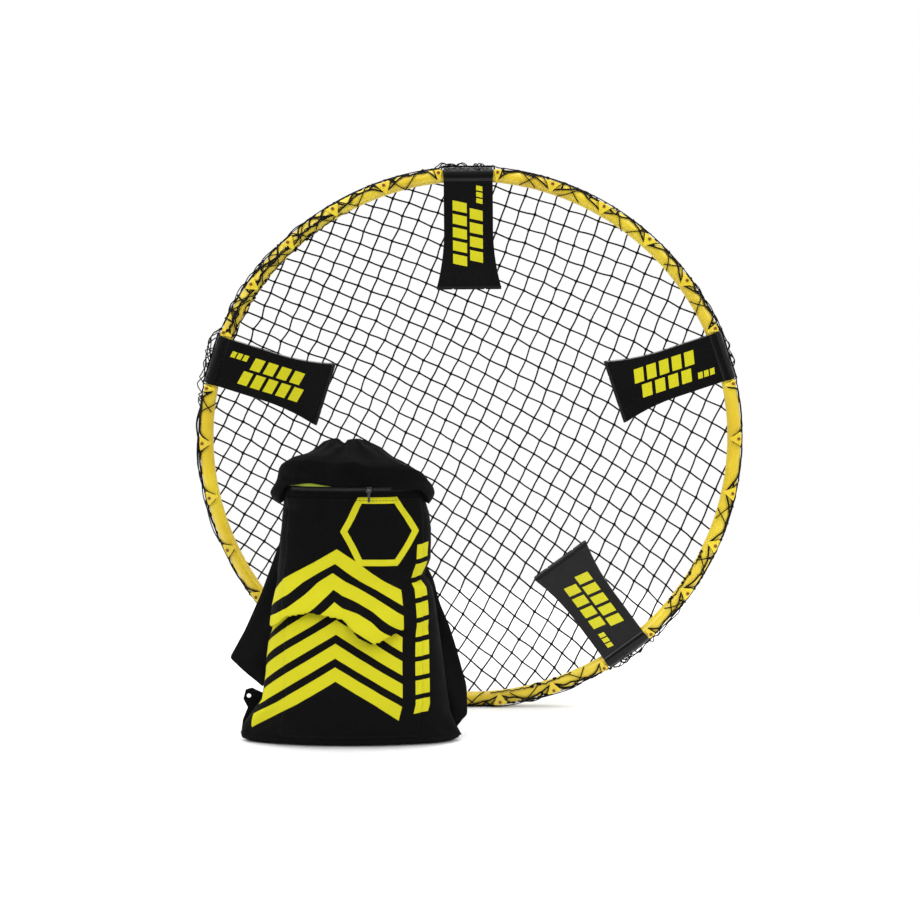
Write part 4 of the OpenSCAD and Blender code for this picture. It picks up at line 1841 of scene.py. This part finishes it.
    def build_collar(self) -> None:
        """Builds the gathered top with its drooping roll and ruffle."""
        tucks = ((0.012, 0.012), (0.007, 0.003), (0.002, 0.000))
        heights = [self.collar_low + 0.0016 * k for k in range(62)]
        rings, alongs, levels = [], [], []
        for inset, rise in tucks:
            points, normals, along = self.collar.ring(0.387, self.around)
            rings.append([self.collar_point(p, n, self.collar_low, -inset, rise)
                          for p, n in zip(points, normals)])
            alongs.append(list(along))
            levels.append(self.collar_low - inset)
        for z in heights:
            points, normals, along = self.collar.ring(z, self.around)
            rings.append([self.collar_point(p, n, z, 0.0, 0.0) for p, n in zip(points, normals)])
            alongs.append(list(along))
            levels.append(z)
        top = rings[-1]
        middle = sum(top, Vector()) / len(top)
        for shrink, sink in ((0.88, 0.001), (0.70, -0.002), (0.48, -0.007), (0.26, -0.013), (0.10, -0.018)):
            drops = [Vector((0, 0, sink + 0.003 * noise.noise(p * 60.0))) for p in top]
            rings.append([middle + (p - middle) * shrink + drop for p, drop in zip(top, drops)])
            alongs.append(alongs[-1])
            levels.append(levels[-1] + 0.008)
        piece = new_piece("bag_collar_cloth", lofted("collar", rings, alongs, levels))
        self.kit.finish(piece, Body.BAG.value, Slot.CLOTH, "cloth", "bag_collar")

    def collar_point(self, point: np.ndarray, normal: np.ndarray, z: float, grow: float,
                     rise: float) -> Vector:
        """Returns a point of the collar with its pleats and rolls.

        Args:
            point: Its place in the plain section.
            normal: The section's outward direction there.
            z: Its height in the plain outline.
            grow: Extra distance outward.
            rise: Extra height.

        Returns:
            The point in the row frame.
        """
        x, y = float(point[0]), float(point[1])
        nx, ny = float(normal[0]), float(normal[1])
        front = min(max(-ny, 0.0), 1.0)
        low = self.collar_edge(x, front)
        share = (z - self.collar_low) / self.collar_tall
        height = low + share * (self.collar_high - low)
        turn = math.atan2(y + 0.055, x)
        sway = 1.6 * noise.noise(Vector((math.cos(turn) * 1.5, math.sin(turn) * 1.5, share * 1.5)))
        gather = min(max(share - 0.25, 0.0) * 1.5, 1.0)
        pleat = math.sin(turn * 7.0 + sway * 3.0) + 0.5 * math.sin(turn * 12.0 - sway * 2.0)
        roll = math.sin((height - self.collar_low) * 1000 / 8.5 + x * 14.0 + 2.6 * sway)
        move = grow + 0.0020 * gather * pleat + 0.0027 * roll * (1.0 - gather * 0.5)
        move += 0.0045 * math.exp(-(share / 0.16) ** 2)
        crown = max(share - 0.72, 0.0) / 0.28
        tufts = (0.0060 * math.exp(-((x + 0.030) / 0.012) ** 2)
                 + 0.0050 * math.exp(-((x - 0.008) / 0.015) ** 2)
                 - 0.0060 * math.exp(-((x + 0.012) / 0.006) ** 2))
        height += rise + crown * crown * tufts + 0.0009 * pleat * gather
        return self.origin + Vector((x + nx * move, y + ny * move, min(height, 0.4885)))

    def build_zip(self) -> None:
        """Builds the zip's tape, teeth and lining, and dresses its slider and pull."""
        half = 0.098
        band = self.strip("zip_tape_cloth", half, self.zip_z - 0.005, 0.0090, 0.0012)
        tape = new_piece("zip_tape_cloth", band)
        thicken(tape, 0.0008)
        self.kit.finish(tape, Body.BAG.value, Slot.ZIP, "webbing", "zip_tape")
        bm = bmesh.new()
        bmesh.ops.create_cube(bm, size=1.0)
        for v in bm.verts:
            flare = 1.25 if v.co.x > 0 else 0.85
            v.co = Vector((v.co.x * 0.0011, v.co.y * 0.0016, v.co.z * 0.0034 * flare))
        tooth = mesh_from(bm, "tooth", soft=False)
        count = 117
        sides = [0.0011 if k % 2 else -0.0011 for k in range(count)]
        places = [self.front_point(-half + 2 * half * k / (count - 1), self.zip_z + side, 0.0028)
                  for k, side in enumerate(sides)]
        turns = [(0.0, 0.0 if k % 2 else math.pi, 0.0) for k in range(count)]
        teeth = self.kit.copies("zip_teeth", tooth, places, turns, "nylon")
        self.kit.finish(teeth, Body.BAG.value, Slot.ZIP, "nylon")
        sliver = self.strip("pocket_lining", 0.042, self.zip_z + 0.0035, 0.0110, 0.0010, -0.063)
        lining = new_piece("pocket_lining", sliver)
        self.kit.finish(lining, Body.BAG.value, Slot.POCKET, "lining")
        for node, name, body in (("zip_slider", "slider", Body.SLIDER), ("zip_pull", "pull", Body.PULL)):
            piece = refine(node, name, 0.00025, 2)
            self.kit.finish(piece, body.value, Slot.METAL, "metal", node)

    def strip(self, name: str, half: float, low: float, tall: float, lift: float,
              middle: float = 0.0) -> bpy.types.Mesh:
        """Lays a narrow strip across the front.

        Args:
            name: The mesh's name.
            half: Half of its length.
            low: Height of its lower edge.
            tall: Its width.
            lift: How far it stands off the body.
            middle: U of its middle.

        Returns:
            The mesh, with its own map.
        """
        columns, rows = 90, 7
        flat = [(half * (2 * c / (columns - 1) - 1), tall * r / (rows - 1))
                for r in range(rows) for c in range(columns)]
        points = [self.front_point(middle + u, low + v, lift) for u, v in flat]
        return sheet(name, points, flat, columns)

    def ribbon(self, name: str, outer: tuple, inner: tuple, node: str, bend: tuple) -> None:
        """Builds a strap between two rails, with soft waves and rolled edges.

        Args:
            name: The piece's name.
            outer: The outer rail, as (x, z) in millimetres.
            inner: The inner rail, with as many points.
            node: The CAD node it stands for.
            bend: Heights between which it comes forward to the side seam, in millimetres.
        """
        rows, columns = 90, 14
        ends = np.linspace(0, 1, len(outer))
        spots = np.linspace(0, 1, rows)
        rails = [np.stack([np.interp(spots, ends, np.array(rail)[:, k]) for k in (0, 1)], -1)
                 for rail in (outer, inner)]
        for rail in rails:
            for _ in range(2):
                rail[1:-1] = (rail[:-2] + 2 * rail[1:-1] + rail[2:]) / 4
        vertices, flat = [], []
        for r in range(rows):
            for c in range(columns):
                t = c / (columns - 1)
                x, z = rails[0][r] * (1 - t) + rails[1][r] * t
                wave = noise.noise(Vector((x / 26.0, z / 34.0, 6.0))) * 2.6
                ridge = math.sin(t * 9.0 + r * 0.09) * 1.1
                depth = 3.4 - 4.0 * math.sin(math.pi * t) + wave + ridge
                near = min(max((bend[0] - z) / (bend[0] - bend[1]), 0.0), 1.0)
                forward = self.seam_back * 1000 * near * near * (3 - 2 * near)
                vertices.append(self.origin + Vector((x, min(max(depth, -9.0), 6.8) - forward, z)) / 1000)
                flat.append((t * 0.05, r * 0.004))
        piece = new_piece(name, sheet(name, vertices, flat, columns, wind=-1))
        thicken(piece, 0.0022, 0.0)
        self.kit.finish(piece, Body.BAG.value, Slot.WEBBING, "webbing", node)

    def tab(self, node: str, name: str) -> None:
        """Turns a flat CAD tab into soft cloth.

        Args:
            node: The CAD node.
            name: The piece's name.
        """
        bm = merged(node)
        for _ in range(3):
            long = [e for e in bm.edges if e.calc_length() > 0.006]
            bmesh.ops.subdivide_edges(bm, edges=long, cuts=1, use_grid_fill=True)
            bmesh.ops.triangulate(bm, faces=bm.faces)
        for v in bm.verts:
            sway = 0.0022 * noise.noise(Vector((v.co.x * 40.0, v.co.z * 34.0, 2.0)))
            v.co.y += sway - 0.001 - self.seam_back
        mesh = mesh_from(bm, name)
        lay_map(mesh, [(v.co.x, v.co.z) for v in mesh.vertices])
        piece = new_piece(name, mesh)
        bevelled(piece, 0.0008, 2, 60)
        bake(piece)
        self.kit.finish(piece, Body.BAG.value, Slot.WEBBING, "cloth", node)

    def build(self) -> None:
        """Builds the bag from its body outward."""
        self.build_body()
        self.build_pocket()
        self.build_collar()
        self.build_zip()
        self.ribbon("strap_cloth_left",
                    ((-100, 384), (-118, 318), (-130, 285), (-150, 230),
                     (-176, 172), (-199, 132), (-172, 108), (-146, 86)),
                    ((-70, 380), (-72, 335), (-84, 290), (-104, 220),
                     (-124, 165), (-118, 136), (-119, 118), (-134, 96)),
                    "strap_left", (230, 110))
        self.ribbon("strap_cloth_right",
                    ((98, 384), (104, 340), (112, 290), (129, 254), (140, 214),
                     (155, 178), (172, 124), (184, 84), (185, 40), (172, 26)),
                    ((70, 384), (72, 340), (84, 290), (98, 240), (102, 205),
                     (108, 172), (114, 130), (122, 100), (134, 62), (150, 26)),
                    "strap_right", (160, 45))
        self.tab("corner_tab_left", "tab_cloth_left")
        self.tab("corner_tab_right", "tab_cloth_right")
        for number in (1, 2, 3):
            dress(frame["nodes"][f"ball_{number}"], self.kit.finishes["ball"])
        dress(frame["nodes"]["draw_cord"], self.kit.finishes["cord"])


# ------------------------------------------------------------------ the studio


@dataclass
class Studio:
    """The floor, the lights and the camera.

    Attributes:
        space: The ring's place.
        distance: Distance from the camera to the ring's centre.
        elevation: The camera's angle above the horizon, in degrees.
        lens: Focal length in millimetres.
        shift: The camera's shift across and up.
        floor_r: The floor's radius.
        sensor: Width of the camera's sensor in millimetres.
    """

    space: RingSpace
    distance: float = 4.5
    elevation: float = 6.8
    lens: float = 104.2
    shift: tuple = (-0.0113, -0.0224)
    floor_r: float = 1.32
    sensor: float = 36.0

    def floor(self) -> None:
        """Lays the pale floor, a disc small enough that the legs don't mirror it."""
        turns = [math.tau * k / 96 for k in range(96)]
        mesh = mesh_of([(self.floor_r * math.cos(a), self.floor_r * math.sin(a), 0.0) for a in turns],
                       [tuple(range(96))])
        floor = new_piece("floor", mesh)
        g = Shading("paper_white")
        tone = g.span(g.noise(g.place(), 3.0, 2.0), 0.3, 0.7, 0.0, 1.0)
        g.set(Base_Color=g.mix(tone, (0.90, 0.90, 0.90, 1), (0.93, 0.93, 0.93, 1)), Roughness=0.85,
              Specular_IOR_Level=0.1)
        dress(floor, g.material)

    def lamp(self, name: str, place: tuple, size: float, power: float) -> None:
        """Hangs a soft square lamp that points at the ring's middle.

        Args:
            name: The lamp's name.
            place: Where it hangs.
            size: The length of its sides.
            power: Its power in watts.
        """
        light = bpy.data.lights.new(name, "AREA")
        light.shape, light.size, light.energy = "SQUARE", size, power
        lamp = bpy.data.objects.new(name, light)
        lamp.location = place
        aim = self.space.middle - Vector(place)
        lamp.rotation_euler = aim.to_track_quat("-Z", "Y").to_euler()
        bpy.context.scene.collection.objects.link(lamp)

    def room(self) -> None:
        """Makes a white room that is dim in front of the set, so that the black plastic stays dark."""
        world = bpy.data.worlds.new("room")
        world.use_nodes = True
        g = NodeGraph(world.node_tree)
        way = g.add("ShaderNodeSeparateXYZ", {0: g.add("ShaderNodeTexCoord").outputs["Generated"]})
        front = g.add("ShaderNodeMapRange", {
            "Value": way.outputs[1], "From Min": -0.9, "From Max": 0.1, "To Min": 0.22, "To Max": 0.95},
            interpolation_type="SMOOTHSTEP").outputs[0]
        above = g.add("ShaderNodeMapRange", {
            "Value": way.outputs[2], "From Min": 0.15, "From Max": 0.8,
            "To Min": 0.0, "To Max": 0.45}).outputs[0]
        tone = g.math("ADD", front, above)
        seen = g.add("ShaderNodeLightPath").outputs["Is Camera Ray"]
        level = g.math("MAXIMUM", tone, seen)
        g.feed(world.node_tree.nodes["Background"].inputs["Strength"], level)
        world.node_tree.nodes["Background"].inputs["Color"].default_value = (1.0, 1.0, 1.0, 1.0)
        bpy.context.scene.world = world

    def build(self) -> None:
        """Sets the floor, the lights, the world and the camera."""
        self.floor()
        self.lamp("lamp_left", (-2.2, -2.6, 2.6), 2.0, 62.0)
        self.lamp("lamp_right", (2.6, -2.0, 2.2), 2.0, 40.0)
        self.lamp("lamp_top", (0.0, 0.2, 3.6), 2.6, 60.0)
        self.room()
        camera = bpy.data.objects.new("camera", bpy.data.cameras.new("camera"))
        e = math.radians(self.elevation)
        camera.location = self.space.middle + self.distance * Vector((0.0, -math.cos(e), math.sin(e)))
        camera.rotation_euler = (math.pi / 2 - e, 0.0, 0.0)
        camera.data.lens, camera.data.sensor_width = self.lens, self.sensor
        camera.data.shift_x, camera.data.shift_y = self.shift
        bpy.context.scene.collection.objects.link(camera)
        bpy.context.scene.camera = camera
        bpy.context.scene.view_settings.view_transform = "Standard"


def main() -> None:
    """Builds the set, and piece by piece."""
    logging.basicConfig(level=logging.INFO, format="%(name)s: %(message)s")
    finishes = {key: finish.build() for key, finish in FINISHES.items()}
    kit = Kit(RingSpace.from_frame(), finishes, cord_tree(), scatter_tree())
    Studio(kit.space).build()
    Rim(kit).build()
    Hooks(kit).build()
    Legs(kit).build()
    Net(kit).build()
    Bag(kit).build()


if __name__ == "__main__":
    main()
